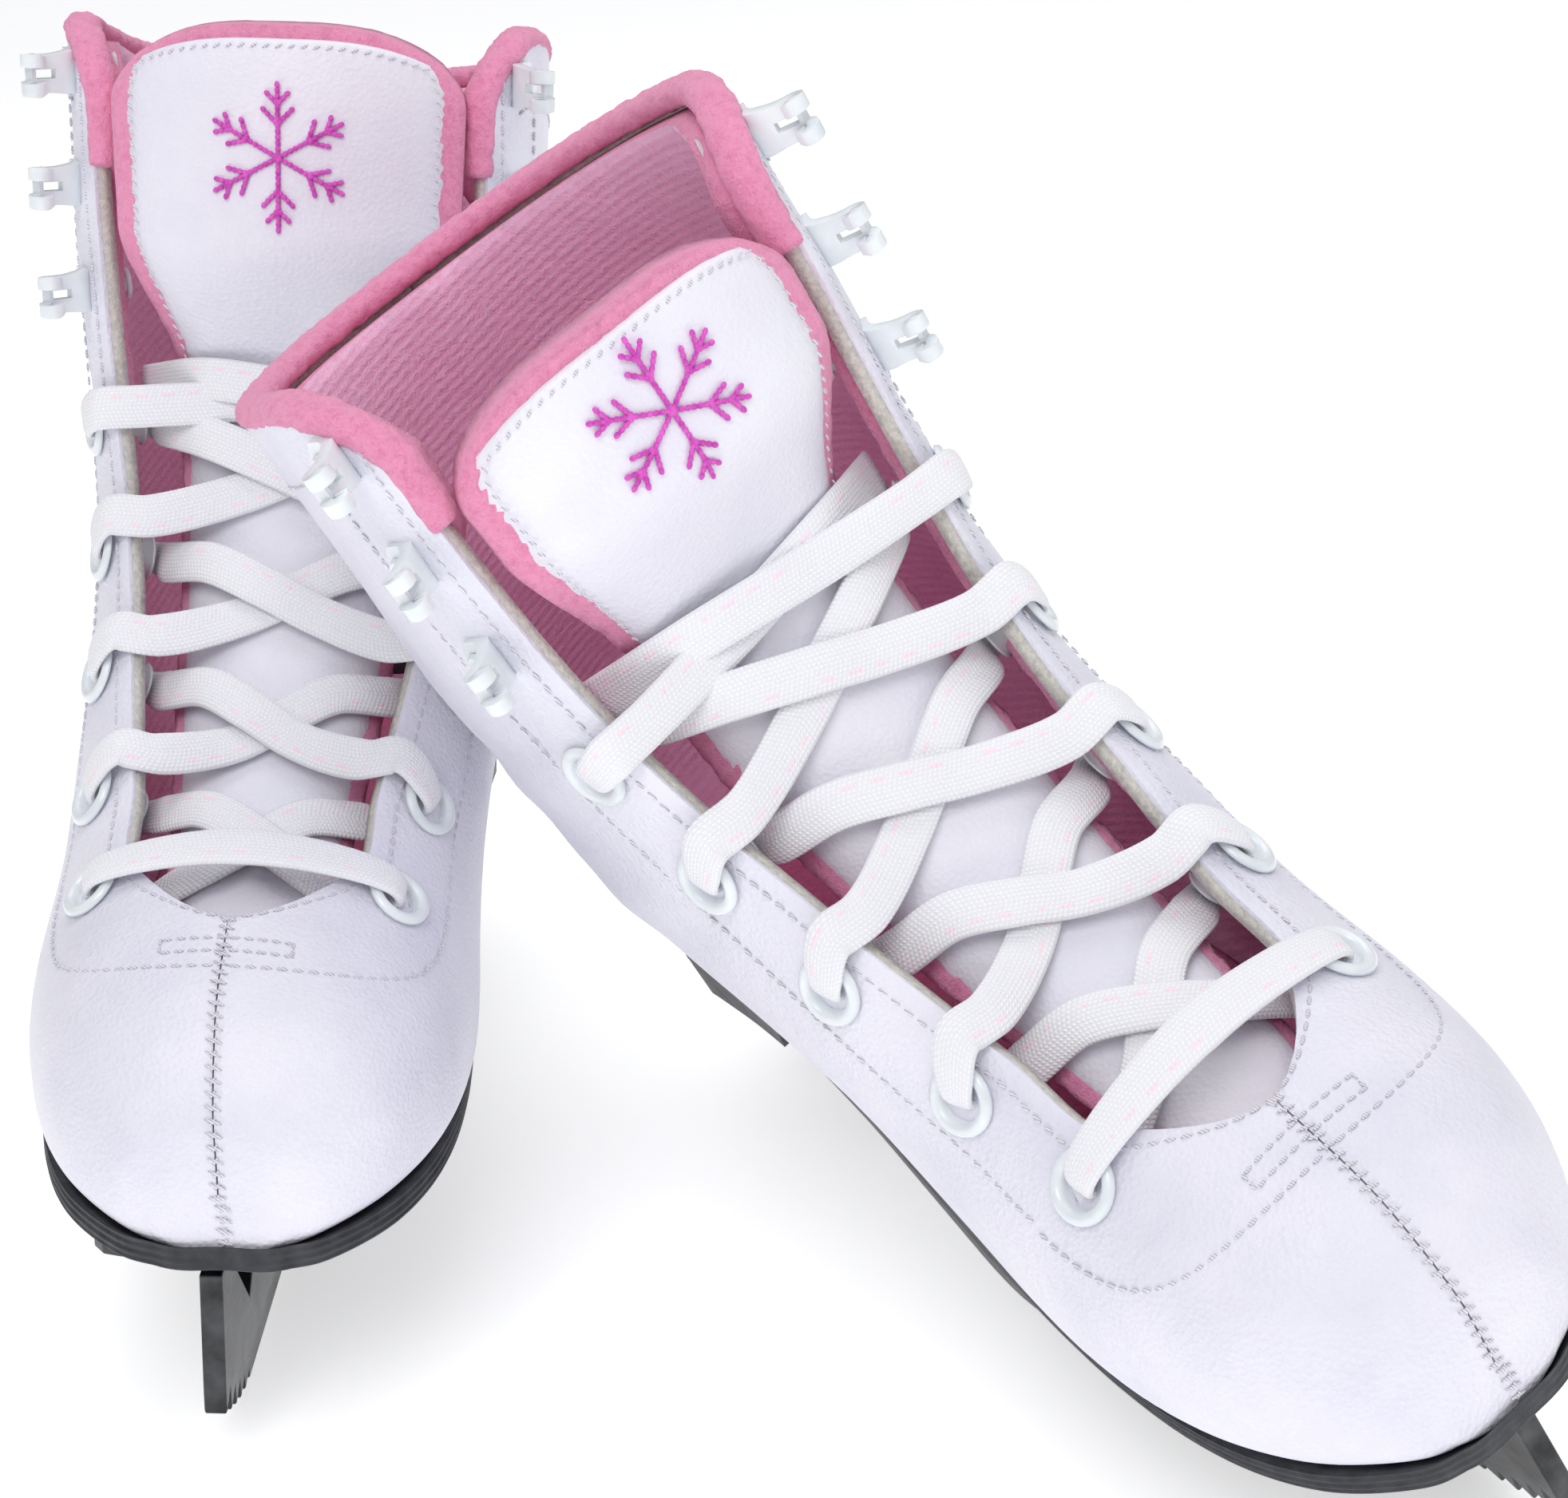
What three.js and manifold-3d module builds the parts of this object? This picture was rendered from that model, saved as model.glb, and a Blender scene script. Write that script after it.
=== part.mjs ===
// A pair of figure skates for ice, in millimetres, +Z up.
// The right skate stands upright on its blade, and the left skate leans over against it.
// Each skate is built in its own frame: toe towards -Y, +X to the right as seen from the toe, z = 0 on the ice.
import * as THREE from "three";
import { mergeVertices } from "three/addons/utils/BufferGeometryUtils.js";
import Module from "manifold-3d";

const wasm = await Module();
wasm.setup();

// ---- driving dimensions ----
const bootLength = 228; // heel to toe, outside
const bootWidth = 80; // across the ball, outside
const bootHeight = 194; // feather line at the ball to the tip of the tongue
const iceToBall = 46; // ice to the feather line at the ball
const gap = 0.3; // between pieces that rest on each other
const upperWall = 1.9; // leatherette upper
const backstayWidth = 15;
const backstayWall = 1.2;
const backstayLift = 1.1; // over the two seam edges
const liningWall = 3.8; // fleece on foam
const boardWall = 1.1; // lasting board
const footbedWall = 2.4;
const tongueWall = 5;
const tonguePadWall = 8;
const rightTongueTop = 14.1; // station of the tongue's top edge
const leftTongueTop = 13.3; // pulled further down
const eyeletRows = 5;
const eyeletFlange = 5.9; // radii
const eyeletClinch = 4.3; // the end rolled out behind the lining
const eyeletBarrel = 4.1;
const eyeletBore = 3.4;
const eyeletSides = 8;
const eyeletSetBack = 9.5; // facing edge to eyelet centre
const hookRows = 3;
const hookSetBack = 8.5; // facing edge to hook rivet
const hookStart = 24; // last eyelet to first hook
const hookPitch = 18.6;
const hookReach = 10.5; // how far a hook stands out
const hookWidth = 6.8;
const hookSlot = 2.6;
const hookMetal = 1.3;
const hookCurl = 2.2; // middle radius of the curl
const curlSteps = 4;
const rivetShank = 1.7;
const laceWidth = 5.4;
const laceWall = 1.6;
const soleRim = 1.6; // sole beyond the upper
const plateWall = 2;
const frontPlateTop = 38; // above the ice
const heelPlateTop = 45;
const heelLength = 56;
const shankWall = 6.5; // sole under the arch
const bladeWall = 3.8;
const runnerHeight = 15;
const rockerRadius = 2100;
const pickTeeth = 5;
// How the two skates stand in the pair: turned about Z, leant sideways and pitched, in degrees.
const rightPose = { degrees: [0, 7, 0], x: 0, y: 0 };
const leftPose = { degrees: [28.8, -25.7, 0.9], x: 0.5 * bootLength + 0.65 * bootWidth, y: -0.2548 * bootLength };

// ---- small helpers ----
const V = (x, y, z) => new THREE.Vector3(x, y, z);
const clamp = (x, low, high) => Math.min(high, Math.max(low, x));
const smooth = (from, to, x) => {
  const t = clamp((x - from) / (to - from), 0, 1);
  return t * t * (3 - 2 * t);
};
const range = (n) => Array.from({ length: n }, (_, i) => i);

// Catmull-Rom through values at 0, 1, 2, ...
function spline(values, at) {
  const last = values.length - 1;
  const x = clamp(at, 0, last);
  const i = Math.min(Math.floor(x), last - 1);
  const t = x - i;
  const b = values[i];
  const c = values[i + 1];
  const a = i > 0 ? values[i - 1] : 2 * b - c;
  const d = i + 2 <= last ? values[i + 2] : 2 * c - b;
  return 0.5 * (2 * b + (c - a) * t + (2 * a - 5 * b + 4 * c - d) * t * t + (3 * b - a - 3 * c + d) * t * t * t);
}

// ---- the last: cross-sections from the toe back to the heel and up the leg ----
// Each chord runs from the top or front of the boot to its bottom or back. Along is a share of bootLength
// from the heel, height a share of bootHeight above the ball, half a share of half the bootWidth.
const last = [
  { top: [0.994, 0.055], bottom: [0.994, 0.04], half: 0, widest: 0.5, over: 2, under: 2 },
  { top: [0.991, 0.09], bottom: [0.988, 0.021], half: 0.3, widest: 0.52, over: 2, under: 2.6 },
  { top: [0.979, 0.13], bottom: [0.972, 0.012], half: 0.49, widest: 0.56, over: 2.1, under: 3 },
  { top: [0.936, 0.19], bottom: [0.925, 0.007], half: 0.76, widest: 0.62, over: 2.2, under: 3.6 },
  { top: [0.872, 0.218], bottom: [0.853, 0.003], half: 0.93, widest: 0.66, over: 2.2, under: 4 },
  { top: [0.787, 0.245], bottom: [0.754, 0], half: 1, widest: 0.68, over: 2.1, under: 4 },
  { top: [0.703, 0.286], bottom: [0.605, 0.012], half: 0.96, widest: 0.66, over: 2.3, under: 4 },
  { top: [0.634, 0.342], bottom: [0.43, 0.058], half: 0.97, widest: 0.62, over: 2.6, under: 4 },
  { top: [0.573, 0.409], bottom: [0.215, 0.089], half: 1.01, widest: 0.58, over: 2.9, under: 4 },
  { top: [0.528, 0.482], bottom: [0.032, 0.11], half: 1.05, widest: 0.54, over: 3.1, under: 3.2 },
  { top: [0.5, 0.56], bottom: [-0.006, 0.236], half: 1.07, widest: 0.5, over: 3.2, under: 2.6 },
  { top: [0.484, 0.64], bottom: [0.01, 0.355], half: 1.09, widest: 0.5, over: 3.2, under: 2.4 },
  { top: [0.474, 0.72], bottom: [0.038, 0.474], half: 1.1, widest: 0.5, over: 3.2, under: 2.4 },
  { top: [0.468, 0.8], bottom: [0.055, 0.593], half: 1.1, widest: 0.5, over: 3.1, under: 2.4 },
  { top: [0.464, 0.88], bottom: [0.055, 0.716], half: 1.1, widest: 0.5, over: 3.1, under: 2.4 },
  { top: [0.462, 0.959], bottom: [0.039, 0.835], half: 1.1, widest: 0.5, over: 3, under: 2.4 },
  { top: [0.461, 1.041], bottom: [0.017, 0.948], half: 1.1, widest: 0.5, over: 3, under: 2.4 },
];
const throatStart = 4.75; // station where the throat opens
const firstEyelet = 5.02;
const lastEyelet = 9.85;
const collar = 14.3; // station of the upper's top edge
const heelSeat = 9; // station of the back bottom corner
const flexStation = 10.6; // where the tongue folds
const flexGap = 0.02; // in stations, each side of the fold
// The throat's width and the tongue's width at the stations, as shares of bootWidth.
const throatShare = [0, 0, 0, 0, 0, 0.47, 0.535, 0.61, 0.68, 0.75, 0.81, 0.85, 0.875, 0.89, 0.895, 0.9, 0.9];
const tongueShare = [0.25, 0.25, 0.25, 0.325, 0.425, 0.54, 0.62, 0.7, 0.75, 0.78, 0.78, 0.76, 0.77, 0.785, 0.79, 0.79, 0.79];
const throatHalf = throatShare.map((share) => (share * bootWidth) / 2);
const tongueHalf = tongueShare.map((share) => (share * bootWidth) / 2);
const tongueLift = [0, 0, 0, 0, 0, 0, 0, 0, 0, 0, 2, 4, 3, 1, 0, 0, 0]; // pad forward of the front line

const throatMouth = 0.25 * bootWidth; // half width that the V opens to
const toeShift = 4; // the toe bends towards the big toe
const toeCore = [0.83, 0.1]; // the point that insets shrink to at the toe

const alongMm = (share) => bootLength * (0.5 - share); // y
const heightMm = (share) => iceToBall + bootHeight * share; // z

function station(u) {
  const read = (pick) => spline(last.map(pick), u);
  const fade = Math.pow(Math.max(u, 0), 0.5);
  return {
    topY: alongMm(read((s) => s.top[0])),
    topZ: heightMm(read((s) => s.top[1])),
    bottomY: alongMm(read((s) => s.bottom[0])),
    bottomZ: heightMm(read((s) => s.bottom[1])),
    half: Math.max(0, u < 1 ? (bootWidth / 2) * 0.3 * fade : (bootWidth / 2) * read((s) => s.half)),
    widest: read((s) => s.widest),
    over: read((s) => s.over),
    under: read((s) => s.under),
  };
}

// How much the boot narrows towards the shank and the heel seat.
const waist = (u) => 0.3 * smooth(5.5, 8.5, u) * (1 - 0.7 * smooth(9.5, 12, u));

// A point on the boot at station u and angle turn (0 is the top or front, PI the bottom or back), depth mm inside it.
function skin(side, u, turn, depth) {
  const s = station(u);
  const chord = new THREE.Vector2(s.bottomY - s.topY, s.bottomZ - s.topZ);
  const length = chord.length();
  const unit = length > 1e-6 ? chord.clone().divideScalar(length) : new THREE.Vector2(0, -1);
  const sine = Math.sin(turn);
  const cosine = Math.cos(turn);
  const power = 2 / (cosine > 0 ? s.over : s.under);
  const across = Math.sign(sine) * Math.pow(Math.abs(sine), power);
  const down = cosine > 0 ? s.widest * (1 - Math.pow(cosine, power)) : s.widest + (1 - s.widest) * Math.pow(-cosine, power);
  const pinch = 1 - waist(u) * smooth(0.35, 1, down);
  const place = (half, start, span) =>
    V(half * across * pinch, s.topY + unit.x * (start + span * down), s.topZ + unit.y * (start + span * down));
  const shrunk = place(Math.max(s.half - depth, 0), depth, Math.max(length - 2 * depth, 0));
  const core = V(0, alongMm(toeCore[0]), heightMm(toeCore[1]));
  const scaled = place(s.half, 0, length).sub(core).multiplyScalar(1 - depth / 40).add(core);
  const point = scaled.lerp(shrunk, smooth(2.6, 4.6, u));
  point.x += side * toeShift * (1 - smooth(0, 7, u));
  return point;
}

function outward(side, u, turn) {
  const e = 0.02;
  const du = skin(side, u + e, turn, 0).sub(skin(side, Math.max(u - e, 0), turn, 0));
  const dv = skin(side, u, turn + e, 0).sub(skin(side, u, turn - e, 0));
  return du.cross(dv).normalize().negate();
}

// The angle at which the skin is across mm from the middle, on its upper half.
function turnAt(u, across) {
  const s = station(u);
  return Math.asin(Math.pow(clamp(Math.abs(across) / s.half, 0, 0.999), s.over / 2)) * Math.sign(across || 1);
}

// The angle reached by walking distance mm round the skin from the facing edge.
function walkTurn(side, u, distance) {
  const step = 0.02;
  let turn = facingTurn(u);
  let walked = 0;
  while (walked < distance && turn < Math.PI) {
    walked += skin(side, u, turn + step, 0).distanceTo(skin(side, u, turn, 0));
    turn += step;
  }
  return turn - (walked - distance) * 0.02;
}

// Arc length along the top line, for spacing eyelets and hooks evenly.
const arcSteps = 400;
const arcs = [0];
for (const i of range(arcSteps)) {
  const [a, b] = [i, i + 1].map((k) => station((k / arcSteps) * (last.length - 1)));
  arcs.push(arcs[i] + Math.hypot(b.topY - a.topY, b.topZ - a.topZ));
}
function arcAt(u) {
  return spline(arcs, (u / (last.length - 1)) * arcSteps);
}
function stationAt(arc) {
  const i = Math.max(1, arcs.findIndex((a) => a >= arc));
  return ((i - 1 + (arc - arcs[i - 1]) / (arcs[i] - arcs[i - 1])) / arcSteps) * (last.length - 1);
}

const facingHalf = (u) => (u <= throatStart ? 0 : Math.min(spline(throatHalf, u), throatMouth * Math.sqrt((u - throatStart) / 0.6)));
const facingTurn = (u) => (u <= throatStart ? turnAt(Math.max(u, 0.02), gap / 2) : Math.max(turnAt(u, facingHalf(u)), turnAt(u, gap / 2)));

// ---- solids ----
// A closed solid between two grids of points, front(s, r) and back(s, r), with s and r from 0 to 1.
function slab(across, along, front, back) {
  const points = [];
  const faces = [];
  const id = (layer, i, j) => (layer * (across + 1) + i) * (along + 1) + j;
  for (const surface of [front, back])
    for (let i = 0; i <= across; i++) for (let j = 0; j <= along; j++) points.push(surface(i / across, j / along));
  const quad = (a, b, c, d) => faces.push([a, b, c], [a, c, d]);
  for (let i = 0; i < across; i++)
    for (let j = 0; j < along; j++) {
      quad(id(0, i, j), id(0, i + 1, j), id(0, i + 1, j + 1), id(0, i, j + 1));
      quad(id(1, i, j), id(1, i, j + 1), id(1, i + 1, j + 1), id(1, i + 1, j));
    }
  for (let i = 0; i < across; i++) {
    quad(id(0, i, 0), id(1, i, 0), id(1, i + 1, 0), id(0, i + 1, 0));
    quad(id(0, i, along), id(0, i + 1, along), id(1, i + 1, along), id(1, i, along));
  }
  for (let j = 0; j < along; j++) {
    quad(id(0, 0, j), id(0, 0, j + 1), id(1, 0, j + 1), id(1, 0, j));
    quad(id(0, across, j), id(1, across, j), id(1, across, j + 1), id(0, across, j + 1));
  }
  const geometry = new THREE.BufferGeometry();
  geometry.setAttribute("position", new THREE.BufferAttribute(new Float32Array(points.flatMap((p) => [p.x, p.y, p.z])), 3));
  geometry.setIndex(faces.flat());
  return solid(geometry);
}

// A manifold from a three.js geometry, turned to face outwards.
function solid(geometry) {
  const bare = geometry.clone();
  for (const name of ["normal", "uv"]) bare.deleteAttribute(name);
  const merged = mergeVertices(bare, 1e-3);
  const index = Array.from(merged.index ? merged.index.array : range(merged.attributes.position.count));
  const kept = [];
  for (let i = 0; i < index.length; i += 3) {
    const [a, b, c] = index.slice(i, i + 3);
    if (a !== b && b !== c && a !== c) kept.push(a, b, c);
  }
  const build = (triangles) =>
    new wasm.Manifold(
      new wasm.Mesh({
        numProp: 3,
        vertProperties: merged.attributes.position.array,
        triVerts: new Uint32Array(triangles),
      }),
    );
  const made = build(kept);
  if (made.volume() >= 0) return made;
  const flipped = [];
  for (let i = 0; i < kept.length; i += 3) flipped.push(kept[i], kept[i + 2], kept[i + 1]);
  return build(flipped);
}

const placed = (geometry, matrix) => solid(geometry.clone().applyMatrix4(matrix));

function geometryOf(manifold) {
  const mesh = manifold.getMesh();
  const positions = [];
  for (let i = 0; i < mesh.numVert; i++)
    positions.push(...mesh.vertProperties.subarray(i * mesh.numProp, i * mesh.numProp + 3));
  const geometry = new THREE.BufferGeometry();
  geometry.setAttribute("position", new THREE.Float32BufferAttribute(positions, 3));
  geometry.setIndex(Array.from(mesh.triVerts));
  return geometry;
}

// An outline of [y, z] points in the side plane, as a plate from x = low to x = high.
function sidePlate(points, low, high) {
  const shape = new THREE.Shape(points.map(([y, z]) => new THREE.Vector2(y, z)));
  const geometry = new THREE.ExtrudeGeometry(shape, { depth: high - low, bevelEnabled: false });
  const turn = new THREE.Matrix4().makeBasis(V(0, 1, 0), V(0, 0, 1), V(1, 0, 0)).setPosition(low, 0, 0);
  return placed(geometry, turn);
}

// An outline of [x, y] points seen from above, from z = low to z = high.
function planPlate(points, low, high) {
  const shape = new THREE.Shape(points.map(([x, y]) => new THREE.Vector2(x, y)));
  const geometry = new THREE.ExtrudeGeometry(shape, { depth: high - low, bevelEnabled: false });
  return placed(geometry, new THREE.Matrix4().makeTranslation(0, 0, low));
}

// ---- materials ----
const finish = (color, roughness, metalness = 0) => new THREE.MeshStandardMaterial({ color, roughness, metalness });
const leatherette = finish(0xf0ecf4, 0.45);
const fleece = finish(0xe8709f, 0.95);
const boardCard = finish(0xb9ad98, 0.9);
const laceCotton = finish(0xf4f5f7, 0.85);
const whiteEnamel = finish(0xe9eef2, 0.25);
const solePlastic = finish(0x1c2026, 0.5);
const bladeSteel = finish(0x8b8f90, 0.3, 0.9);

// ---- upper, lining and boards ----
const marginTurn = 0.955 * Math.PI; // how far the upper is lasted under the boot

// The last angle of a half upper at station u: under the sole, or the back seam.
function rearTurn(u, edge) {
  const seamTurn = Math.PI - Math.asin(Math.pow((edge / 2) / station(u).half, station(u).under / 2));
  return THREE.MathUtils.lerp(marginTurn, seamTurn, smooth(heelSeat - 1.4, heelSeat - 0.1, u));
}

// Where the collar's top edge is: level, with the front corner rounded down.
function collarStation(top, turn) {
  const fromEdge = (turn - facingTurn(top)) / 0.62;
  return top - 0.85 * Math.pow(1 - clamp(fromEdge, 0, 1), 2.4);
}

const upperRows = 17;
const halfColumns = 7;
// A point of one half of the upper's skin at share s of its height and r of its girth, rise stations above it.
function halfPoint(side, hand, s, r, depth, rise = 0) {
  const turnOf = (u) => THREE.MathUtils.lerp(facingTurn(u), rearTurn(Math.max(u, 0.02), gap), r);
  const u = s * collarStation(collar, turnOf(s * collar)) + rise;
  return skin(side, u, hand * turnOf(u), depth);
}

function upperHalf(side, hand) {
  const point = (depth) => (s, r) => halfPoint(side, hand, s, hand > 0 ? r : 1 - r, depth);
  return slab(upperRows, halfColumns, point(0), point(upperWall));
}

const liningDepth = upperWall + gap;
const rollStation = 0.32; // how far the fleece roll stands above the upper

function lining(side) {
  const rollRows = 2;
  const columns = 2 * halfColumns + 2;
  const rows = upperRows + rollRows;
  const point = (inner) => (share, round) => {
    const row = Math.round(share * rows);
    const column = Math.round(round * columns);
    const s = Math.min(row / upperRows, 1);
    const above = Math.max(row - upperRows, 0) / rollRows;
    const depth = inner ? liningDepth + liningWall : liningDepth * (1 - 0.85 * above);
    if (column === halfColumns + 1) return skin(side, s * collar + above * rollStation, Math.PI, depth);
    const hand = column <= halfColumns ? 1 : -1;
    const r = (hand > 0 ? column : columns - column) / halfColumns;
    return halfPoint(side, hand, s, r, depth, above * rollStation);
  };
  return slab(rows, columns, point(false), point(true));
}

const innerDepth = liningDepth + liningWall + gap;

function backstay(side) {
  const from = heelSeat + 0.25;
  const reach = (u) => Math.asin(Math.pow(backstayWidth / 2 / station(u).half, station(u).under / 2));
  const point = (depth) => (s, r) => {
    const u = THREE.MathUtils.lerp(from, collar - 0.1, s);
    return skin(side, u, Math.PI + (2 * r - 1) * reach(u), depth);
  };
  return slab(8, 2, point(-backstayLift - backstayWall), point(-backstayLift));
}

// A thin board that lies on the inside of the bottom, from station to station.
function bottomBoard(side, from, to, halfTurn, outer, inner) {
  const point = (depth) => (s, r) => {
    const u = THREE.MathUtils.lerp(from, to, s);
    return skin(side, u, Math.PI + (2 * r - 1) * halfTurn(u), depth);
  };
  return slab(14, 4, point(outer), point(inner));
}

// ---- tongue ----
// A point of the tongue at station u, q from -1 to 1 across, depth mm behind its face.
const laceRoom = 4.9; // between the lining and the tongue
const tongueSag = 7;
const tongueTopOf = (side) => (side > 0 ? rightTongueTop : leftTongueTop);
function tonguePoint(side, u, q, depth) {
  const tongueTop = tongueTopOf(side);
  const e = 0.05;
  const [a, b] = [station(u - e), station(u + e)];
  const along = new THREE.Vector2(b.topY - a.topY, b.topZ - a.topZ).normalize();
  const inward = new THREE.Vector2(along.y, -along.x);
  const corner = Math.pow(clamp((u - (tongueTop - 0.9)) / 0.9, 0, 1), 3);
  const half = spline(tongueHalf, u) * (1 - 0.14 * corner);
  const x = half * q;
  const under = skin(side, u, turnAt(u, x), innerDepth + laceRoom + depth);
  const s = station(u);
  const sunk = tongueSag * q * q + depth - spline(tongueLift, u);
  const drop = 7 * Math.pow(Math.abs(q), 3) * smooth(tongueTop - 1.4, tongueTop, u);
  const out = V(x, s.topY + inward.x * sunk - along.x * drop, s.topZ + inward.y * sunk - along.y * drop);
  return under.lerp(out, smooth(10.3, 11.8, u));
}
function tonguePiece(side, from, to, rows, wall) {
  const point = (back) => (s, r) => {
    const u = THREE.MathUtils.lerp(from, to, s);
    const q = 2 * r - 1;
    const edge = 1 - 0.55 * Math.pow(Math.abs(q), 6);
    const thick = wall(u) * edge;
    const face = (wall(u) - thick) / 2;
    return tonguePoint(side, u, q, back ? face + thick : face);
  };
  return slab(rows, 6, point(false), point(true));
}
const tongueThick = (u) => THREE.MathUtils.lerp(tongueWall, tonguePadWall, smooth(9.5, 12, u));

// ---- eyelets and hooks ----
const eyeletStation = (row) =>
  stationAt(THREE.MathUtils.lerp(arcAt(firstEyelet), arcAt(lastEyelet), row / (eyeletRows - 1)));
const hookStation = (row) => stationAt(arcAt(lastEyelet) + hookStart + hookPitch * row);

// The frame of a fitting on the facing: x rearwards along the skin, y up the facing, z outwards.
function facingFrame(side, u, hand, setBack) {
  const turn = hand * walkTurn(side, u, setBack);
  const normal = outward(side, u, turn);
  const up = skin(side, u + 0.1, turn, 0).sub(skin(side, u - 0.1, turn, 0)).normalize();
  const back = up.clone().cross(normal).normalize().multiplyScalar(hand > 0 ? -1 : 1);
  up.crossVectors(normal, back).normalize();
  return new THREE.Matrix4().makeBasis(back, up, normal).setPosition(skin(side, u, turn, 0));
}

const backLift = 1.5; // room behind the lining for the curve of the facing
const throughWall = upperWall + gap + liningWall; // upper and lining together

function eyelet(frame) {
  const top = 1.6;
  const profile = [
    [eyeletBore, -throughWall - backLift - 0.7],
    [eyeletClinch, -throughWall - backLift - 0.7],
    [eyeletClinch, -throughWall - backLift],
    [eyeletBarrel, -throughWall - backLift],
    [eyeletBarrel, 3 * gap],
    [eyeletFlange, 3 * gap],
    [eyeletFlange - 0.9, top],
    [eyeletBore + 0.4, top],
    [eyeletBore, -throughWall - backLift - 0.7],
  ];
  const ring = new THREE.LatheGeometry(profile.map(([r, z]) => new THREE.Vector2(r, z)), eyeletSides);
  return placed(ring, frame.clone().multiply(new THREE.Matrix4().makeRotationX(Math.PI / 2)));
}

// The hook's side view: a shank that stands out and curls back over, as [rearwards, outwards].
function hookOutline() {
  const middle = [
    [-4.2, gap + hookMetal / 2],
    [-0.6, gap + hookMetal / 2 + 0.1],
    [1.2, gap + 2.2],
    [2.2, hookReach - hookCurl - 1.6],
  ];
  const centre = [2.6 + hookCurl, hookReach - hookCurl - 0.6];
  for (const k of range(curlSteps + 1)) {
    const angle = Math.PI - (k / curlSteps) * 1.3 * Math.PI;
    middle.push([centre[0] + hookCurl * Math.cos(angle), centre[1] + hookCurl * Math.sin(angle)]);
  }
  const offset = (sign) =>
    middle.map((p, i) => {
      const a = middle[Math.max(i - 1, 0)];
      const b = middle[Math.min(i + 1, middle.length - 1)];
      const length = Math.hypot(b[0] - a[0], b[1] - a[1]);
      const half = (sign * hookMetal) / 2;
      return new THREE.Vector2(p[0] - ((b[1] - a[1]) / length) * half, p[1] + ((b[0] - a[0]) / length) * half);
    });
  return new THREE.Shape([...offset(1), ...offset(-1).reverse()]);
}

function box(frame, x, y, z) {
  const geometry = new THREE.BoxGeometry(x[1] - x[0], y[1] - y[0], z[1] - z[0]);
  const centre = new THREE.Matrix4().makeTranslation((x[0] + x[1]) / 2, (y[0] + y[1]) / 2, (z[0] + z[1]) / 2);
  return placed(geometry, frame.clone().multiply(centre));
}

function peg(frame, radius, low, high, sides, x = 0) {
  const geometry = new THREE.CylinderGeometry(radius, radius, high - low, sides);
  const stand = new THREE.Matrix4().makeRotationX(Math.PI / 2).setPosition(x, 0, (low + high) / 2);
  return placed(geometry, frame.clone().multiply(stand));
}

const rivetAt = -2.2; // rivet from the hook's shank

function hook(frame) {
  const bar = new THREE.ExtrudeGeometry(hookOutline(), { depth: hookWidth, bevelEnabled: false });
  const stand = new THREE.Matrix4().makeBasis(V(1, 0, 0), V(0, 0, 1), V(0, -1, 0)).setPosition(0, hookWidth / 2, 0);
  const slot = [-hookSlot / 2, hookSlot / 2];
  return placed(bar, frame.clone().multiply(stand))
    .subtract(box(frame, [0.2, 6], slot, [gap + 1.8, hookReach - hookCurl - 1.9]))
    .subtract(box(frame, [2.4 + hookCurl, 12], slot, [0, hookReach + 2]))
    .add(peg(frame, rivetShank, -throughWall - backLift - 0.4, gap + 0.5, 6, rivetAt))
    .add(peg(frame, rivetShank + 1.3, -throughWall - backLift - 0.7, -throughWall - backLift, 6, rivetAt));
}

// ---- lace ----
const crossLift = 2.2; // one strand over the other
const laceUnder = -9.6; // under the facing
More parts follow.
